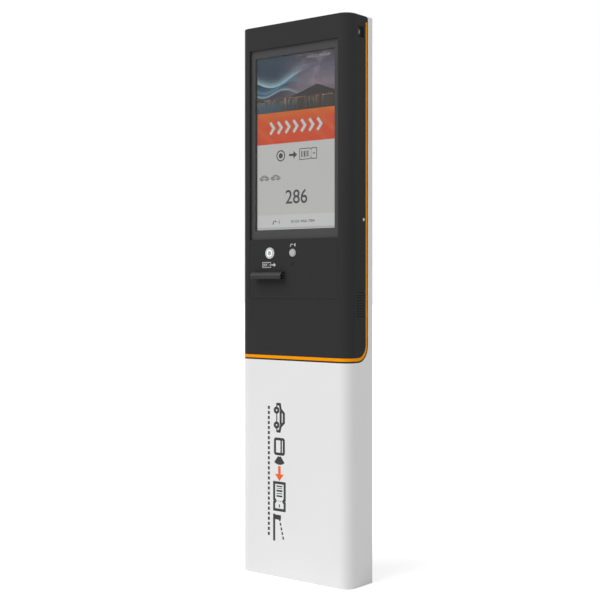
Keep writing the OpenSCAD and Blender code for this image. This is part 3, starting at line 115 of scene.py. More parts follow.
class Shade:  # one material and its nodes
    def __init__(self, name):
        self.material = bpy.data.materials.new(name)
        self.material.use_nodes = True
        self.nodes = self.material.node_tree.nodes
        self.links = self.material.node_tree.links
        self.surface = self.nodes["Principled BSDF"]

    def feed(self, socket, value):
        if isinstance(value, Number):
            value = value.socket
        if isinstance(value, bpy.types.NodeSocket):
            self.links.new(value, socket)
        else:
            socket.default_value = value

    def node(self, kind, settings=None, inputs=None):
        made = self.nodes.new("ShaderNode" + kind)
        for key, value in (settings or {}).items():
            if key == "stops":
                ramp = made.color_ramp
                while len(ramp.elements) < len(value):
                    ramp.elements.new(0.5)
                for stop, (place, colour) in zip(ramp.elements, value):
                    stop.position = place
                    stop.color = (*colour, 1)
            else:
                setattr(made, key, value)
        for key, value in (inputs or {}).items():
            self.feed(made.inputs[key], value)
        return made

    def maths(self, operation, *values):
        made = self.node("Math", {"operation": operation}, dict(enumerate(values)))
        return Number(self, made.outputs[0])

    def place(self):
        if not hasattr(self, "placeSocket"):
            self.placeSocket = self.node("TexCoord").outputs["Object"]
        return self.placeSocket

    def axes(self):
        if not hasattr(self, "axisNumbers"):
            split = self.node("SeparateXYZ", None, {0: self.place()})
            self.axisNumbers = [Number(self, split.outputs[i]) for i in range(3)]
        return self.axisNumbers

    def away(self, first, second, centre):
        # distance from an axis that runs through a centre: the root of a^2 + b^2
        first, second = first - centre[0], second - centre[1]
        return (first * first + second * second).math("SQRT")

    def mapped(self, scale, centre=(0, 0, 0), turn=(0, 0, 0)):
        settings = {"vector_type": "TEXTURE"}
        inputs = {"Vector": self.place(), "Location": centre, "Rotation": turn,
                  "Scale": [1 / s for s in scale]}
        return self.node("Mapping", settings, inputs).outputs[0]

    def noise(self, scale, detail=2.0, rough=0.5, vector=None):
        inputs = {"Vector": vector or self.place(), "Scale": scale, "Detail": detail, "Roughness": rough}
        return Number(self, self.node("TexNoise", None, inputs).outputs[0])

    def cells(self, output, scale, random=1.0, vector=None):
        inputs = {"Vector": vector or self.place(), "Scale": scale, "Randomness": random}
        return self.node("TexVoronoi", {"feature": "F1"}, inputs).outputs[output]

    def ramp(self, factor, stops):
        return self.node("ValToRGB", {"stops": stops}, {0: factor}).outputs[0]

    def range(self, value, low, high, newLow=0.0, newHigh=1.0, smooth=False):
        settings = {"interpolation_type": "SMOOTHSTEP" if smooth else "LINEAR"}
        inputs = {"Value": value, "From Min": low, "From Max": high, "To Min": newLow, "To Max": newHigh}
        return Number(self, self.node("MapRange", settings, inputs).outputs[0])

    def step(self, value, edge, soft):
        # 0 below an edge and 1 above it
        return self.range(value, edge - soft, edge + soft)

    def between(self, value, low, high, soft):
        rise = self.range(value, low - soft, low + soft, smooth=True)
        return rise * self.range(value, high - soft, high + soft, 1, 0, smooth=True)

    def colours(self, factor, first, second):
        made = self.node("Mix", {"data_type": "RGBA"})
        for index, value in ((0, factor), (6, first), (7, second)):
            if isinstance(value, tuple):
                value = (*value, 1)
            self.feed(made.inputs[index], value)
        return made.outputs[2]

    def bump(self, height, strength, distance):
        inputs = {"Height": height, "Strength": strength, "Distance": distance}
        self.feed(self.surface.inputs["Normal"], self.node("Bump", None, inputs).outputs[0])

    def set(self, **values):
        names = {"colour": "Base Color", "rough": "Roughness", "metal": "Metallic", "alpha": "Alpha",
                 "level": "Specular IOR Level", "glow": "Emission Color", "glowStrength": "Emission Strength"}
        for key, value in values.items():
            if isinstance(value, tuple):
                value = (*value, 1)
            self.feed(self.surface.inputs[names[key]], value)
        return self


# Finishes


def dimmed(colour, share):
    return tuple(min(1.0, c * share) for c in colour)


powder = {
    "whiteColour": (0.80, 0.80, 0.80),
    "blackColour": (0.040, 0.040, 0.040),
    "whiteRough": 0.45,
    "blackRough": 0.5,
    "whiteLevel": 0.25,
    "blackLevel": 0.02,
    # the hood's coat is a copy of the black coat, glossier, and darker in tone as painted shade fitted to how
    # light falls on the hood
    "hoodShadedColour": (0.0265, 0.0265, 0.0265),
    "hoodRough": 0.34,
    "hoodLevel": 0.2,
    "grain": 620.0,  # bumps per metre
    "depth": 0.00012,  # metres
    "paintedShadeFade": (0.70, 1.15, 0.88),  # painted shade, full tone above the upper edge and thinner towards the floor: lower and upper edge in metres, share of the tone
}


def powderCoat(name, colour, rough, level, cloud=0.03, paintedShadeFade=None):
    # the coat's orange peel is a fine noise in the bump, over slow changes of tone and gloss
    shade = Shade(name)
    slow = shade.noise(5.0, 3.0)
    fine = shade.noise(powder["grain"], 2.0)
    tone = shade.colours(slow, dimmed(colour, 1 - cloud), dimmed(colour, 1 + cloud))
    if paintedShadeFade:  # painted shade: the tone gets deeper towards the floor, where less light falls
        z = shade.axes()[2]
        tone = shade.colours(shade.range(z, paintedShadeFade[0], paintedShadeFade[1], 1, 0, True), tone, dimmed(colour, paintedShadeFade[2]))
    shade.set(colour=tone, rough=rough - 0.04 + slow * 0.05 + fine * 0.03, level=level)
    shade.bump(fine, 0.35, powder["depth"])
    return shade.material


trim = {"colour": (1.0, 0.335, 0.0018), "rough": 0.5, "level": 0.02, "grain": 900.0}


def satinTrim():
    shade = Shade("orangeTrim")
    slow = shade.noise(9.0, 2.0)
    fine = shade.noise(trim["grain"], 2.0)
    shade.set(colour=shade.colours(slow, dimmed(trim["colour"], 0.965), trim["colour"]),
              rough=trim["rough"] + fine * 0.06, level=trim["level"])
    shade.bump(fine, 0.2, 0.00008)
    return shade.material


zinc = {
    "crystals": 120.0,  # cells per metre
    "dark": (0.42, 0.43, 0.44), "light": (0.66, 0.67, 0.68), "rough": 0.3, "metal": 0.92,
}


def zincSheet():
    # zinc's flat crystals: a cell pattern that shifts tone and gloss from one crystal to the next
    shade = Shade("zincSheet")
    tone = Number(shade, shade.node("RGBToBW", None, {0: shade.cells("Color", zinc["crystals"])}).outputs[0])
    slow = shade.noise(14.0, 3.0)
    mixed = tone * 0.7 + slow * 0.3
    shade.set(colour=shade.colours(mixed, zinc["dark"], zinc["light"]), rough=zinc["rough"] + mixed * 0.22,
              metal=zinc["metal"])
    shade.bump(tone, 0.15, 0.00005)
    return shade.material


def brushed(name, dark, light, stretch, rough, metal=1.0, strength=0.15):
    # long thin grains: a noise that is squeezed along one axis
    shade = Shade(name)
    grain = shade.noise(1.0, 3.0, 0.6, shade.mapped(stretch))
    slow = shade.noise(20.0, 2.0)
    shade.set(colour=shade.colours(grain * 0.7 + slow * 0.3, dark, light), rough=rough - 0.05 + grain * 0.12,
              metal=metal)
    shade.bump(grain, strength, 0.00004)
    return shade.material


aluminium = {
    "dark": (0.42, 0.43, 0.44), "light": (0.58, 0.59, 0.60), "rough": 0.34,
    "tape": (0.006, 0.006, 0.007),
    "tapeDepth": 0.0015,  # metres behind the module's front
    "tapeLow": 0.79,  # height of the tape's lower edge
}


def rolledAluminium():
    # the display module's front frame is taped black, so the window shows no bright metal beside the picture
    shade = Shade("rolledAluminium")
    x, y, z = shade.axes()
    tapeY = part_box("display_module")[0][1] + aluminium["tapeDepth"]
    tape = shade.range(y, tapeY, tapeY + 0.0001, 1, 0)
    tape *= shade.range(z, aluminium["tapeLow"], aluminium["tapeLow"] + 0.001)
    grain = shade.noise(1.0, 3.0, 0.6, shade.mapped((900, 900, 30)))
    metal = shade.colours(grain, aluminium["dark"], aluminium["light"])
    shade.set(colour=shade.colours(tape, metal, aluminium["tape"]),
              rough=aluminium["rough"] + grain * 0.1 + tape * 0.2, metal=1 - tape)
    shade.bump(grain, 0.15, 0.00004)
    return shade.material


def moulded(name, colour, rough, level=0.4, grain=1500.0):
    # moulded plastic: fine spark-erosion grain
    shade = Shade(name)
    fine = shade.noise(grain, 2.0)
    slow = shade.noise(25.0, 2.0)
    shade.set(colour=shade.colours(slow, dimmed(colour, 0.9), colour), rough=rough + fine * 0.08, level=level)
    shade.bump(fine, 0.3, 0.00006)
    return shade.material


def rubber(name, colour, rough):
    shade = Shade(name)
    fine = shade.noise(900.0, 4.0, 0.7)
    dust = shade.range(shade.noise(30.0, 3.0), 0.5, 0.8)
    lighter = tuple(c * 1.8 + 0.01 for c in colour)
    shade.set(colour=shade.colours(dust, colour, lighter), rough=rough - dust * 0.05 + fine * 0.1, level=0.3)
    shade.bump(fine, 0.4, 0.0001)
    return shade.material


board = {
    "mask": (0.008, 0.075, 0.028), "runs": (0.02, 0.17, 0.065), "shadow": (0.004, 0.05, 0.02),
    "pads": (0.62, 0.52, 0.30),
    "rough": 0.28,
}


def circuitBoard():
    # copper runs under the green mask are a brick pattern's joints, and the pads come from a cell pattern
    shade = Shade("circuitBoard")
    upright = shade.mapped((1, 1, 1), (0, 0, 0), (math.radians(90), 0, 0))
    bricks = shade.node("TexBrick", {"offset": 0.37, "squash": 1.0}, {
        "Vector": upright, "Scale": 100.0, "Mortar Size": 0.06, "Mortar Smooth": 0.1, "Brick Width": 1.3,
        "Row Height": 0.45})
    runs = Number(shade, bricks.outputs["Fac"])
    pads = shade.range(shade.cells("Distance", 190.0, 0.6), 0.13, 0.17, 1, 0)
    slow = shade.noise(30.0, 3.0)
    mask = shade.colours(runs * 0.8, board["mask"], board["runs"])
    green = shade.colours(slow * 0.3, mask, board["shadow"])
    shade.set(colour=shade.colours(pads, green, board["pads"]), rough=board["rough"] + slow * 0.1,
              metal=pads * 0.8)
    shade.bump(runs + pads, 0.3, 0.00005)
    return shade.material


ticketPaper = {
    "axis": (-0.0005, 0.6201),  # the roll's axis, along X: its Y and Z
    "middle": -0.069, "end": 0.0392,  # the roll's middle along X, and its ends from there
    "turns": 5200,  # waves of the ring pattern, in radians per metre
    "light": (0.84, 0.83, 0.79), "dark": (0.74, 0.72, 0.67), "rough": 0.55,
}


def paper():
    # a roll's ends show the edges of its turns, so a fine ring pattern runs about the roll's axis
    shade = Shade("thermalPaper")
    x, y, z = shade.axes()
    rings = (shade.away(y, z, ticketPaper["axis"]) * ticketPaper["turns"]).math("SINE") * 0.5 + 0.5
    side = shade.range(abs(x - ticketPaper["middle"]), ticketPaper["end"], ticketPaper["end"] + 0.0006)
    fibres = shade.noise(700.0, 3.0)
    tone = rings * side * 0.6 + fibres * 0.4
    shade.set(colour=shade.colours(tone, ticketPaper["light"], ticketPaper["dark"]),
              rough=ticketPaper["rough"] + fibres * 0.1, level=0.3)
    shade.bump(rings * side + fibres * 0.3, 0.3, 0.00006)
    return shade.material


buttonAxes = {"ticket": (-0.069, 0.767), "call": (0.0, 0.767)}  # X and Z of each button's middle


def turnedSteel(name, dark, light, centre, rough):
    # a face turned on a lathe: fine rings about the button's own axis
    shade = Shade(name)
    x, y, z = shade.axes()
    rings = (shade.away(x, z, centre) * 9000).math("SINE") * 0.5 + 0.5
    grain = shade.noise(260.0, 3.0)
    shade.set(colour=shade.colours(rings * 0.5 + grain * 0.5, dark, light), rough=rough + rings * 0.06,
              metal=0.85)
    shade.bump(rings, 0.06, 0.00003)
    return shade.material


cover = {
    "half": 0.1187, "bottom": 0.8208, "top": 1.235,  # the clear window in the printed border
    "print": (0.059, 0.059, 0.0595),
    "reflectionVeil": 0.105,  # share of the picture that the etched front face covers; its grey is partly a painted reflection of the bright surroundings
    "reflectionVeilColour": (0.31, 0.314, 0.318),
    "rough": 0.32,
}


def coverGlass():
    # etched glass with a dark printed border; only its front face scatters light over the picture, as a grey
    # film that partly stands in for the glass reflecting the bright surroundings: painted reflection
    shade = Shade("coverGlass")
    x, y, z = shade.axes()
    middle = (cover["bottom"] + cover["top"]) / 2
    tall = (cover["top"] - cover["bottom"]) / 2
    outside = (abs(x) - cover["half"]).math("MAXIMUM", abs(z - middle) - tall)
    border = shade.step(outside, 0.0, 0.0001)
    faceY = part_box("display_glass")[0][1]
    front = shade.range(y, faceY + 0.0004, faceY + 0.0008, 1, 0)
    smear = shade.noise(9.0, 3.0)
    # painted reflection, in part: the front face's grey film over the picture
    reflectionVeil = front * (cover["reflectionVeil"] - 0.006 + smear * 0.012)
    fine = shade.noise(1400.0, 2.0)
    shade.set(colour=shade.colours(border, cover["reflectionVeilColour"], cover["print"]),
              rough=cover["rough"] + fine * 0.06, level=0.18, alpha=border + (1 - border) * reflectionVeil)
    shade.bump(fine, 0.15, 0.00003)
    return shade.material


ring = {
    "middle": 0.00695, "half": 0.00165,  # the lit ring's mean radius and half its width, in metres
    "bright": (0.90, 0.91, 0.92), "edge": (0.50, 0.52, 0.54), "strength": 0.60,
}


def lightRing():
    # lit from behind: brightest along the middle of the ring
    shade = Shade("lightRing")
    x, y, z = shade.axes()
    edge = abs(shade.away(x, z, buttonAxes["ticket"]) - ring["middle"]) / ring["half"]
    shade.set(colour=(0.55, 0.55, 0.55), rough=0.4, glowStrength=ring["strength"],
              glow=shade.colours(edge * edge, ring["bright"], ring["edge"]))
    return shade.material


# The picture on the display

picture = {
    "bottom": 0.823, "top": 1.2324, "half": 0.1166,
    "sceneLow": 1.102,  # lower edge of the evening picture
    "shore": 1.1285,
    "bandLow": 1.027,  # lower edge of the coloured band
    "footer": 0.858,  # upper edge of the footer
    "rule": (0.8242, 0.8280),  # thin grey line at the page's foot
    "glow": 1.18,
    "cold": [(0.0, (0.030, 0.030, 0.040)), (0.45, (0.005, 0.015, 0.036)), (1.0, (0.010, 0.030, 0.048))],
    "warm": [(0.0, (0.072, 0.053, 0.046)), (0.35, (0.115, 0.092, 0.116)), (0.7, (0.060, 0.058, 0.084)),
             (1.0, (0.032, 0.023, 0.033))],
    "haze": (0.24, 0.19, 0.22), "star": (0.55, 0.52, 0.56),
    "ridge": (0.011, 0.010, 0.011), "lamps": (0.95, 0.45, 0.16),
    "gleams": [(0.36, (0.42, 0.07, 0.03)), (0.47, (0.50, 0.27, 0.10)), (0.58, (0.46, 0.48, 0.46))],
    "waterRight": (0.014, 0.012, 0.007), "waterLeft": (0.020, 0.045, 0.062),
    "band": [(0.0, (0.43, 0.033, 0.001)), (0.7, (0.425, 0.042, 0.001)), (1.0, (0.425, 0.085, 0.001))],
    "stripe": (0.46, 0.13, 0.002),
    "pageLow": (0.383, 0.382, 0.374), "pageHigh": (0.380, 0.379, 0.371), "foot": (0.428, 0.429, 0.429),
    "curtains": [  # foot, wave, turns per metre, start, reach, strength, colour
        (1.178, 0.016, 30.0, 0.5, 0.040, 0.95, (0.34, 0.52, 0.56)),
        (1.160, 0.012, 38.0, 1.9, 0.030, 0.9, (0.05, 0.22, 0.34)),
        (1.146, 0.007, 52.0, 3.4, 0.018, 0.8, (0.30, 0.46, 0.52)),
    ],
}


def nightScene(shade, x, z):
    # northern lights over a lake at night, a dark ridge and a town's lamps that shine on the water
    up = shade.range(z, picture["shore"], picture["top"])
    cold, warm = shade.ramp(up, picture["cold"]), shade.ramp(up, picture["warm"])
    sky = shade.colours(shade.range(x, -0.06, 0.035, smooth=True), cold, warm)
    haze = shade.noise(1.0, 5.0, 0.6, shade.mapped((26, 1, 48)))
    haze = shade.range(haze, 0.47, 0.72) * shade.range(x, -0.04, 0.04)
    sky = shade.colours(haze * 0.5, sky, picture["haze"])
    star = shade.range(shade.cells("Distance", 300.0), 0.05, 0.14, 1, 0) * shade.range(up, 0.35, 0.8)
    sky = shade.colours(star * shade.range(x, -0.02, 0.05) * 0.8, sky, picture["star"])
    for foot, wave, turns, start, reach, strength, colour in picture["curtains"]:
        # a curtain hangs over a wavy foot: bright there, fading upwards in fine upright rays
        height = z - foot - (x * turns + start).math("SINE") * wave
        rays = shade.noise(1.0, 2.0, 0.6, shade.mapped((340, 1, 6), (0, 0, foot)))
        rays = shade.range(rays, 0.28, 0.62, 0.35, 1)
        fall = shade.range(height, 0.0, reach, 1, 0)
        side = shade.range(x, 0.045, -0.035, smooth=True)
        curtain = shade.step(height, 0.0, 0.0010) * fall ** 4 * rays * side
        sky = shade.colours(curtain * strength, sky, colour)
    swell = shade.noise(1.0, 3.0, 0.5, shade.mapped((22, 1, 0.001))) * 0.012
    peak = shade.range(abs(x - 0.062), 0.0, 0.085, 1, 0) * 0.024
    ridge = shade.range(z - swell - peak, 1.1265, 1.1272, 1, 0)
    colour = shade.colours(ridge, sky, picture["ridge"])
    lamp = shade.range(shade.cells("Distance", 190.0, 1.0, shade.mapped((1, 1, 1.6))), 0.10, 0.34, 1, 0)
    row = shade.between(z, picture["shore"] + 0.001, picture["shore"] + 0.0055, 0.0015)
    colour = shade.colours(lamp * row, colour, picture["lamps"])
    streak = shade.range(shade.noise(1.0, 2.0, 0.6, shade.mapped((260, 1, 18))), 0.47, 0.66)
    depth = shade.range(z, picture["sceneLow"] - 0.004, picture["shore"])
    gleam = shade.noise(1.0, 1.0, 0.5, shade.mapped((55, 1, 0.001), (0.3, 0, 0)))
    gleam = shade.ramp(gleam, picture["gleams"])
    water = shade.colours(shade.range(x, 0.02, -0.09), picture["waterRight"], picture["waterLeft"])
    water = shade.colours(streak * depth * depth * 0.38, water, gleam)
    return shade.colours(shade.step(z, picture["shore"], 0.0003), water, colour)


def displayPicture():
    # the night scene at the top, a coloured band with slanting stripes, then a pale page with its footer
    shade = Shade("displayPicture")
    x, y, z = shade.axes()
    band = shade.ramp(shade.range(z, picture["bandLow"], picture["sceneLow"]), picture["band"])
    slant = ((x * 0.8 + z) * 150).math("SINE")
    stripes = shade.range(slant, 0.55, 0.62) * shade.range(abs(x), 0.0, 0.1, 0.15, 1.0)
    band = shade.colours(stripes * 0.3, band, picture["stripe"])
    page = shade.colours(shade.range(z, picture["footer"], 0.99), picture["pageLow"], picture["pageHigh"])
    page = shade.colours(shade.step(z, picture["footer"], 0.0004), picture["foot"], page)
    page = shade.colours(shade.between(z, *picture["rule"], 0.0006) * 0.5, page, (0.2, 0.2, 0.2))
    colour = shade.colours(shade.step(z, picture["sceneLow"], 0.0003), band, nightScene(shade, x, z))
    colour = shade.colours(shade.step(z, picture["bandLow"], 0.0003), page, colour)
    # painted shade: the picture darkens towards its left and right edges, beside the walls of the window's
    # recess
    edge = shade.range(abs(x), 0.106, picture["half"])
    colour = shade.colours(edge * edge * 0.12, colour, (0.0, 0.0, 0.0))
    shade.set(colour=(0.012, 0.012, 0.013), rough=0.5, level=0.1, glow=colour, glowStrength=picture["glow"])
    return shade.material


def glowInk(name, colour, strength=1.07):
    # a lit mark on the display: the tone drifts a little, as the back light does
    shade = Shade(name)
    slow = shade.noise(12.0, 1.0)
    shade.set(colour=(0.012, 0.012, 0.012), rough=0.5, level=0.1,
              glow=shade.colours(slow, dimmed(colour, 0.94), colour), glowStrength=strength)
    return shade.material


def printInk(name, colour, rough=0.5):
    # screen-printed ink with a slightly uneven film
    shade = Shade(name)
    film = shade.noise(500.0, 3.0)
    shade.set(colour=shade.colours(film, dimmed(colour, 0.93), colour), rough=rough + film * 0.08, level=0.3)
    shade.bump(film, 0.15, 0.00003)
    return shade.material


finishes = {
    "white_paint": powderCoat("whiteCoat", powder["whiteColour"], powder["whiteRough"], powder["whiteLevel"]),
    "black_paint": powderCoat("blackCoat", powder["blackColour"], powder["blackRough"], powder["blackLevel"],
                              0.06, powder["paintedShadeFade"]),
    "orange_trim": satinTrim(),
    "galvanised": zincSheet(),
    "fastener": brushed("brightZinc", (0.34, 0.34, 0.34), (0.50, 0.50, 0.49), (300, 300, 300), 0.3),
    "hinge_black": powderCoat("hingeCoat", (0.016, 0.016, 0.016), 0.45, 0.35, 0.1),
    "rubber": rubber("sealRubber", (0.010, 0.010, 0.010), 0.75),
    "roller_rubber": rubber("rollerRubber", (0.020, 0.021, 0.023), 0.55),
    "circuit_board": circuitBoard(),
    "aluminium": rolledAluminium(),
    "grey_plastic": moulded("greyPlastic", (0.20, 0.22, 0.24), 0.5),
    "black_plastic": moulded("blackPlastic", (0.014, 0.015, 0.016), 0.5),
    "brass": brushed("brass", (0.52, 0.34, 0.11), (0.72, 0.50, 0.20), (40, 700, 700), 0.3),
    "white_plastic": moulded("whitePlastic", (0.74, 0.73, 0.68), 0.42, 0.45),
    "motor_steel": brushed("motorSteel", (0.30, 0.31, 0.32), (0.46, 0.47, 0.48), (20, 600, 600), 0.36),
    "blade_steel": brushed("blade", (0.48, 0.50, 0.52), (0.70, 0.72, 0.74), (60, 60, 1200), 0.25),
    "spring_steel": brushed("springSteel", (0.40, 0.41, 0.42), (0.60, 0.61, 0.62), (900, 900, 900), 0.3),
    "paper": paper(),
    "cover_glass": coverGlass(),
    "picture": displayPicture(),
    "button_steel": turnedSteel("ticketButtonSteel", (0.44, 0.45, 0.46), (0.53, 0.54, 0.55),
                                buttonAxes["ticket"], 0.38),
    "light_ring": lightRing(),
    "lock_chrome": brushed("lockNickel", (0.20, 0.20, 0.20), (0.28, 0.28, 0.27), (300, 300, 300), 0.3),
    "lock_black": brushed("lockBlackNickel", (0.010, 0.010, 0.010), (0.020, 0.020, 0.020), (300, 300, 300),
                          0.4, 0.5),
}
ownFinish = {  # nodes whose finish differs from their slot's
    "ticket_button_cap": turnedSteel("ticketCapSteel", (0.32, 0.33, 0.34), (0.39, 0.40, 0.41),
                                     buttonAxes["ticket"], 0.4),
    "call_button_body": turnedSteel("callBezelSteel", (0.35, 0.355, 0.36), (0.43, 0.435, 0.44),
                                    buttonAxes["call"], 0.38),
    "call_button_cap": turnedSteel("callCapSteel", (0.34, 0.345, 0.35), (0.41, 0.415, 0.42),
                                   buttonAxes["call"], 0.4),
    # the hood wears a darker copy of the black coat: the darker tone is painted shade
    "ticket_hood": powderCoat("hoodShadedCoat", powder["hoodShadedColour"], powder["hoodRough"], powder["hoodLevel"],
                              0.08),
}


def dressNodes():
    for part in frame["record"]["subparts"]:
        node = frame["nodes"][part["node"]]
        finish = ownFinish.get(part["node"], finishes[part["material_slot"]])
        for slot in node.material_slots:
            slot.material = finish
        if not node.material_slots:
            node.data.materials.append(finish)


dressNodes()
print("finishes on the nodes")


# Flat marks: printed symbols on the steel and lit ones on the display


def boxLoop(x0, z0, x1, z1):
    return np.array([(x0, z0), (x1, z0), (x1, z1), (x0, z1)], float)


def arcLoop(centre, radius, start=0, end=360, count=28):
    # points on a circle between two angles in degrees
    closed = end - start >= 360
    turn = np.radians(np.linspace(start, end, count, endpoint=not closed))
    return np.column_stack([centre[0] + radius * np.cos(turn), centre[1] + radius * np.sin(turn)])


def roundedLoop(x0, z0, x1, z1, radius, count=7):
    left, right, low, high = x0 + radius, x1 - radius, z0 + radius, z1 - radius
    corners = [((right, high), 0), ((left, high), 90), ((left, low), 180), ((right, low), 270)]
    return np.concatenate([arcLoop(c, radius, a, a + 90, count) for c, a in corners])


def strokeLoops(points, width, closed=False):
    # the line's two edges: each point moved out along the mitre of the two stretches that meet there
    points = np.asarray(points, float)
    if closed:
        before, after = np.roll(points, 1, 0), np.roll(points, -1, 0)
    else:
        before = np.vstack([2 * points[:1] - points[1:2], points[:-1]])
        after = np.vstack([points[1:], 2 * points[-1:] - points[-2:-1]])
    ahead, behind = after - points, points - before
    ahead /= np.linalg.norm(ahead, axis=1)[:, None]
    behind /= np.linalg.norm(behind, axis=1)[:, None]
    side = np.column_stack([-(ahead + behind)[:, 1], (ahead + behind)[:, 0]])
    length = np.linalg.norm(side, axis=1)[:, None]
    reach = width / length / np.clip(length / 2, 0.35, 1)  # a mitre grows as the corner sharpens
    left, right = points + side * reach / 2, points - side * reach / 2
    return [left, right] if closed else [np.vstack([left, right[::-1]])]


def moved(shapes, scale=1.0, place=(0, 0), turn=0.0):
    # shapes are lists of loops; each is turned, scaled and set at its place
    c, s = math.cos(math.radians(turn)) * scale, math.sin(math.radians(turn)) * scale
    spin = np.array([[c, s], [-s, c]])
    return [[np.asarray(loop, float) @ spin + np.array(place) for loop in shape] for shape in shapes]


def plateMesh(name, shapes, faceY, thick, step=0.003):
    # every shape becomes a thin plate; each lies a hair in front of the one before, so none share a plane
    points, faces, start = [], [], 0
    for index, loops in enumerate(shapes):
        flat = np.concatenate(loops)
        count = len(flat)
        for y in (faceY - index * step, faceY + thick):
            points.append(np.insert(flat, 1, y, axis=1))
        corners = np.array(tessellate_polygon([[Vector((*p, 0)) for p in loop] for loop in loops]))
        faces += (corners + start).tolist() + (corners[:, ::-1] + start + count).tolist()
        for loop in loops:  # the plate's edge: each point with the next one, in front and behind
            here = np.arange(len(loop)) + start
            ahead = np.roll(here, -1)
            faces += np.column_stack([here, ahead, ahead + count, here + count]).tolist()
            start += len(loop)
        start += count
    data = bpy.data.meshes.new(name)
    data.from_pydata((np.concatenate(points) / 1000).tolist(), [], faces)
    outward = bmesh.new()
    outward.from_mesh(data)
    bmesh.ops.recalc_face_normals(outward, faces=outward.faces)
    outward.to_mesh(data)
    outward.free()
    return data


def addPiece(name, data, finish, body):
    piece = bpy.data.objects.new(name, data)
    bpy.context.scene.collection.objects.link(piece)
    data.materials.append(finish)
    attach(piece, body)
    return piece


def flatMarks(name, shapes, faceY, finish, body="door", thick=0.05):
    return addPiece(name, plateMesh(name, shapes, faceY, thick), finish, body)


def figures(name, row, faceY, finish, body="door"):
    # a row of figures from the built-in type, made into a mesh, then scaled to its height and centred
    curve = bpy.data.curves.new(name, "FONT")
    curve.body = row["text"]
    curve.resolution_u = 6
    curve.offset = row["bold"]
    curve.extrude = 0.01
    holder = bpy.data.objects.new(name + "Outline", curve)
    bpy.context.scene.collection.objects.link(holder)
    data = bpy.data.meshes.new_from_object(holder.evaluated_get(bpy.context.evaluated_depsgraph_get()))
    bpy.data.objects.remove(holder)
    points = np.empty(len(data.vertices) * 3)
    data.vertices.foreach_get("co", points)
    points = points.reshape(-1, 3)
    low, high = points.min(0), points.max(0)
    scale = row["height"] / (high[1] - low[1])
    across = (points[:, 0] - (low[0] + high[0]) / 2) * scale * row["squeeze"] + row["place"][0]
    up = (points[:, 1] - low[1]) * scale + row["place"][1]
    depth = faceY + np.where(points[:, 2] > 0, 0.0, 0.05)
    data.vertices.foreach_set("co", (np.column_stack([across, depth, up]) / 1000).ravel())
    data.update()
    data.name = name
    return addPiece(name, data, finish, body)


# symbols, drawn about their own middle, one unit high


def ticketSymbol(line=0.09):
    # a ticket with its tear-off line and a bar pattern
    upper, lower = arcLoop((0.35, 0.5), 0.11, 180, 360, 9), arcLoop((0.35, -0.5), 0.11, 0, 180, 9)
    outline = np.concatenate([[(-1.0, 0.5)], upper, [(1.0, 0.5), (1.0, -0.5)], lower, [(-1.0, -0.5)]])
    widths = ((-0.8, 0.1), (-0.62, 0.05), (-0.48, 0.14), (-0.24, 0.06), (-0.08, 0.12))
    bars = [[boxLoop(x, -0.28, x + w, 0.28)] for x, w in widths]
    dashes = [[boxLoop(0.33, z, 0.38, z + 0.1)] for z in (-0.3, -0.12, 0.06, 0.24)]
    return [strokeLoops(outline, line, True)] + bars + dashes + [[boxLoop(0.58, -0.05, 0.82, 0.05)]]


def carSymbol(line=0.1):
    # a car from the side: body, cabin and two wheels
    body = [(-1.0, -0.25), (-1.0, 0.05), (-0.62, 0.12), (-0.34, 0.42), (0.34, 0.42), (0.62, 0.12),
            (1.0, 0.02), (1.0, -0.25)]
    wheels = [strokeLoops(arcLoop((x, -0.27), 0.17), line, True) for x in (-0.55, 0.55)]
    sill = [[boxLoop(x0, -0.3, x1, -0.2)] for x0, x1 in ((-0.33, 0.33), (-1.05, -0.78), (0.78, 1.05))]
    waist = strokeLoops([(-0.5, 0.12), (0.5, 0.12)], line)
    return [strokeLoops(body, line), waist] + wheels + sill


def barrierSymbol(line=0.1):
    # a post with a raised boom in stripes
    post = [[roundedLoop(-0.95, -0.5, -0.6, 0.15, 0.06)]]
    boom = [[boxLoop(start, -0.07, start + 0.22, 0.07)] for start in (0.0, 0.34, 0.68, 1.02, 1.36)]
    return post + moved(boom, 1.0, (-0.72, 0.0), 14) + [strokeLoops([(-1.0, -0.5), (1.0, -0.5)], line)]


def cardSymbol(line=0.09):
    # a card with its stripe, held by three arcs of a reader
    edge = strokeLoops(roundedLoop(-0.75, -0.42, 0.35, 0.42, 0.1), line, True)
    arcs = [strokeLoops(arcLoop((0.35, 0), r, -38, 38, 12), line) for r in (0.3, 0.5, 0.7)]
    return [edge, [boxLoop(-0.73, 0.1, 0.33, 0.24)]] + arcs


def handsetSymbol():
    # an old telephone handset, lying at a slant
    arm = strokeLoops(arcLoop((0, -0.42), 0.62, 42, 138, 14), 0.2)
    ends = [[roundedLoop(x - 0.17, -0.32, x + 0.17, 0.06, 0.08)] for x in (-0.46, 0.46)]
    return moved([arm] + ends, 1.0, (0, 0), 35)


def wavesSymbol(line=0.11):
    return [strokeLoops(arcLoop((-0.5, 0), r, -40, 40, 12), line) for r in (0.32, 0.6, 0.88)]


def arrowSymbol():
    half = [(-0.5, -0.12), (0.1, -0.12), (0.1, -0.42)]
    return [[np.array(half + [(0.6, 0)] + [(x, -z) for x, z in half[::-1]])]]


def buttonSymbol(line=0.11):
    return [strokeLoops(arcLoop((0, 0), 0.46), line, True), [arcLoop((0, 0), 0.24)]]


display = {
    "gap": 0.05,  # mm, from the picture to its marks
    "chevrons": {"count": 7, "pitch": 23.6, "width": 11.0, "low": 1051.0, "high": 1079.0, "line": 7.0},
    "number": {"text": "286", "height": 33.0, "place": (3.0, 883.0), "squeeze": 0.98, "bold": 0.008},
    "clock": {"text": "14:05:22  08-11-24", "height": 6.2, "place": (69.0, 1220.5), "squeeze": 1.02,
              "bold": 0.0},
    "foot": {"text": "0123 456 789", "height": 6.2, "place": (22.0, 838.0), "squeeze": 1.5, "bold": 0.012},
    "cars": {"height": 13.5, "places": [(-95.0, 947.0), (-60.0, 947.0)]},
}


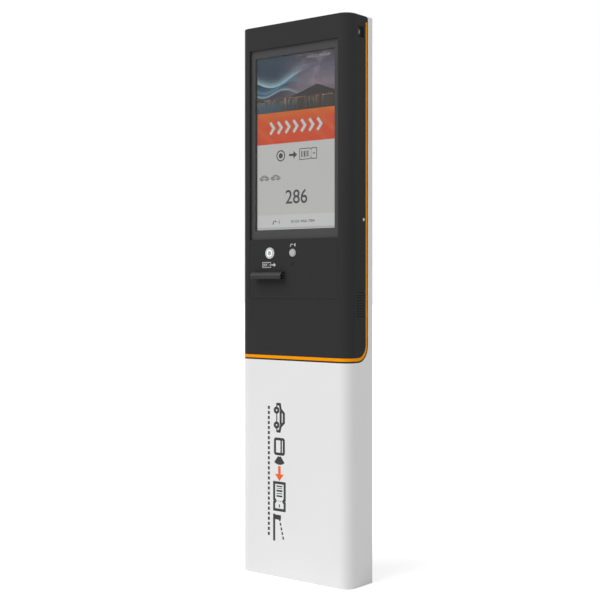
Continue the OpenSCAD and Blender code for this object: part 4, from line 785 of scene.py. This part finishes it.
def displayMarks():
    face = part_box("display_picture")[0][1] * 1000 - display["gap"]
    pale = glowInk("displayPale", (0.42, 0.50, 0.49))
    dark = glowInk("displayDark", (0.034, 0.035, 0.037))
    grey = glowInk("displayGrey", (0.066, 0.066, 0.066))
    sky = glowInk("displayFigures", (0.26, 0.275, 0.285))
    band = display["chevrons"]
    middle = (band["low"] + band["high"]) / 2
    half = (band["high"] - band["low"]) / 2
    chevrons = []
    for i in range(band["count"]):
        x = (i - (band["count"] - 1) / 2) * band["pitch"]
        points = [(x - band["width"] / 2, middle + half), (x + band["width"] / 2, middle),
                  (x - band["width"] / 2, middle - half)]
        chevrons.append(strokeLoops(points, band["line"]))
    flatMarks("bandChevrons", chevrons, face, pale)
    steps = moved(buttonSymbol(), 26, (-44, 998)) + moved(arrowSymbol(), 22, (-8, 998)) + moved(
        ticketSymbol(0.07), 25, (38, 998))
    flatMarks("stepSymbols", steps, face, dark)
    cars = []
    for place in display["cars"]["places"]:
        cars += moved(carSymbol(0.13), display["cars"]["height"], place)
    flatMarks("spaceSymbols", cars, face, dark)
    for name, ink in (("number", dark), ("clock", sky), ("foot", grey)):
        row = display[name]
        figures(name + "Figures", row, face, ink)
    foot = moved(handsetSymbol(), 10, (-64, 841)) + moved(wavesSymbol(), 8, (-50, 841))
    flatMarks("footSymbols", foot, face, grey)
    print("display marks made")


prints = {
    "face": -47.53,
    "ticket": {"height": 12.5, "place": (-79.0, 739.0), "line": 0.1},
    "arrow": {"height": 12.0, "place": (-58.0, 739.0)},
    "call": {"height": 7.0, "place": (-4.0, 785.5), "waves": (6.0, 785.5)},
    "column": {"x": -39.6, "low": 92.0, "high": 402.0, "height": 32.0, "line": 0.2},
    "dashes": {"x": -72.0, "low": 96.0, "high": 408.0, "width": 6.0, "pitch": 12.0, "length": 7.5},
}


def printedMarks():
    face = prints["face"]
    white = printInk("whitePrint", (0.60, 0.60, 0.60))
    dark = printInk("darkPrint", (0.032, 0.032, 0.033))
    ticket, arrow, call = prints["ticket"], prints["arrow"], prints["call"]
    shapes = moved(ticketSymbol(ticket["line"]), ticket["height"], ticket["place"])
    shapes += moved(arrowSymbol(), arrow["height"], arrow["place"])
    flatMarks("ticketPrint", shapes, face, white, thick=0.03)
    shapes = moved(handsetSymbol(), call["height"], call["place"])
    shapes += moved(wavesSymbol(0.18), call["height"], call["waves"])
    flatMarks("callPrint", shapes, face, white, thick=0.03)
    column = prints["column"]
    shapes = []
    for symbol, z in ((barrierSymbol, 0.08), (ticketSymbol, 0.32), (cardSymbol, 0.68), (carSymbol, 0.92)):
        height = column["low"] + (column["high"] - column["low"]) * z
        shapes += moved(symbol(column["line"]), column["height"], (column["x"], height), -90)
    flatMarks("columnPrint", shapes, face, dark, "frame", 0.03)
    middle = (column["low"] + column["high"]) / 2
    flatMarks("arrowPrint", moved(arrowSymbol(), column["height"], (column["x"], middle), -90), face,
              printInk("orangePrint", (0.84, 0.13, 0.02)), "frame", 0.03)
    row = prints["dashes"]
    dashes = [[boxLoop(row["x"] - row["width"] / 2, z, row["x"] + row["width"] / 2, z + row["length"])]
              for z in np.arange(row["low"], row["high"] - row["length"], row["pitch"])]
    flatMarks("dashPrint", dashes, face, dark, "frame", 0.03)
    print("printed marks made")


displayMarks()
printedMarks()


# Floor, lamps and backdrop

studio = {
    "floorSize": 60.0,  # metres
    "floorColour": (0.88, 0.88, 0.88),
    "floorGlow": 0.5,
    "ambient": 0.35,
    "key": {"strength": 1.76, "from": (-0.42, -0.9, 1.05), "angle": 50},
    "top": {"strength": 0.4, "from": (0.0, -0.15, 1.0), "angle": 60},
    "fill": {"strength": 0.21, "from": (1.0, -0.25, 0.5), "angle": 70},
}


def seenDirectly(nodes, links):
    # 1 for rays from the camera, in mirrors and through glass, where the backdrop has to look white
    path = nodes.new("ShaderNodeLightPath")
    first = nodes.new("ShaderNodeMath")
    first.operation = "MAXIMUM"
    links.new(path.outputs["Is Camera Ray"], first.inputs[0])
    links.new(path.outputs["Is Glossy Ray"], first.inputs[1])
    second = nodes.new("ShaderNodeMath")
    second.operation = "MAXIMUM"
    links.new(first.outputs[0], second.inputs[0])
    links.new(path.outputs["Is Transmission Ray"], second.inputs[1])
    return second.outputs[0]


def makeWorld():
    world = bpy.data.worlds.new("studio")
    bpy.context.scene.world = world
    world.use_nodes = True
    nodes, links = world.node_tree.nodes, world.node_tree.links
    background = nodes["Background"]
    background.inputs[0].default_value = (1, 1, 1, 1)
    level = nodes.new("ShaderNodeMapRange")
    links.new(seenDirectly(nodes, links), level.inputs[0])
    level.inputs[3].default_value = studio["ambient"]
    level.inputs[4].default_value = 1.0
    links.new(level.outputs[0], background.inputs[1])


def makeFloor():
    size = studio["floorSize"] / 2
    mesh = bpy.data.meshes.new("studioFloor")
    corners = [(-size, -size, 0), (size, -size, 0), (size, size, 0), (-size, size, 0)]
    mesh.from_pydata(corners, [], [(0, 1, 2, 3)])
    floor = bpy.data.objects.new("studioFloor", mesh)
    bpy.context.scene.collection.objects.link(floor)
    shade = Shade("floorCard")
    tone = shade.noise(0.8, 2.0)
    glow = seenDirectly(shade.nodes, shade.links)
    darker = tuple(c - 0.01 for c in studio["floorColour"])
    shade.set(colour=shade.colours(tone, darker, studio["floorColour"]), rough=0.9, level=0.0,
              glow=shade.colours(Number(shade, glow), (0.0, 0.0, 0.0), (1.0, 1.0, 1.0)),
              glowStrength=studio["floorGlow"])
    mesh.materials.append(shade.material)


def makeLamp(name):
    values = studio[name]
    data = bpy.data.lights.new(name + "Lamp", "SUN")
    data.energy = values["strength"]
    data.angle = math.radians(values["angle"])
    lamp = bpy.data.objects.new(name + "Lamp", data)
    lamp.rotation_euler = Vector(values["from"]).to_track_quat("Z", "Y").to_euler()
    bpy.context.scene.collection.objects.link(lamp)


makeWorld()
makeFloor()
makeLamp("key")
makeLamp("top")
makeLamp("fill")
print("studio set")
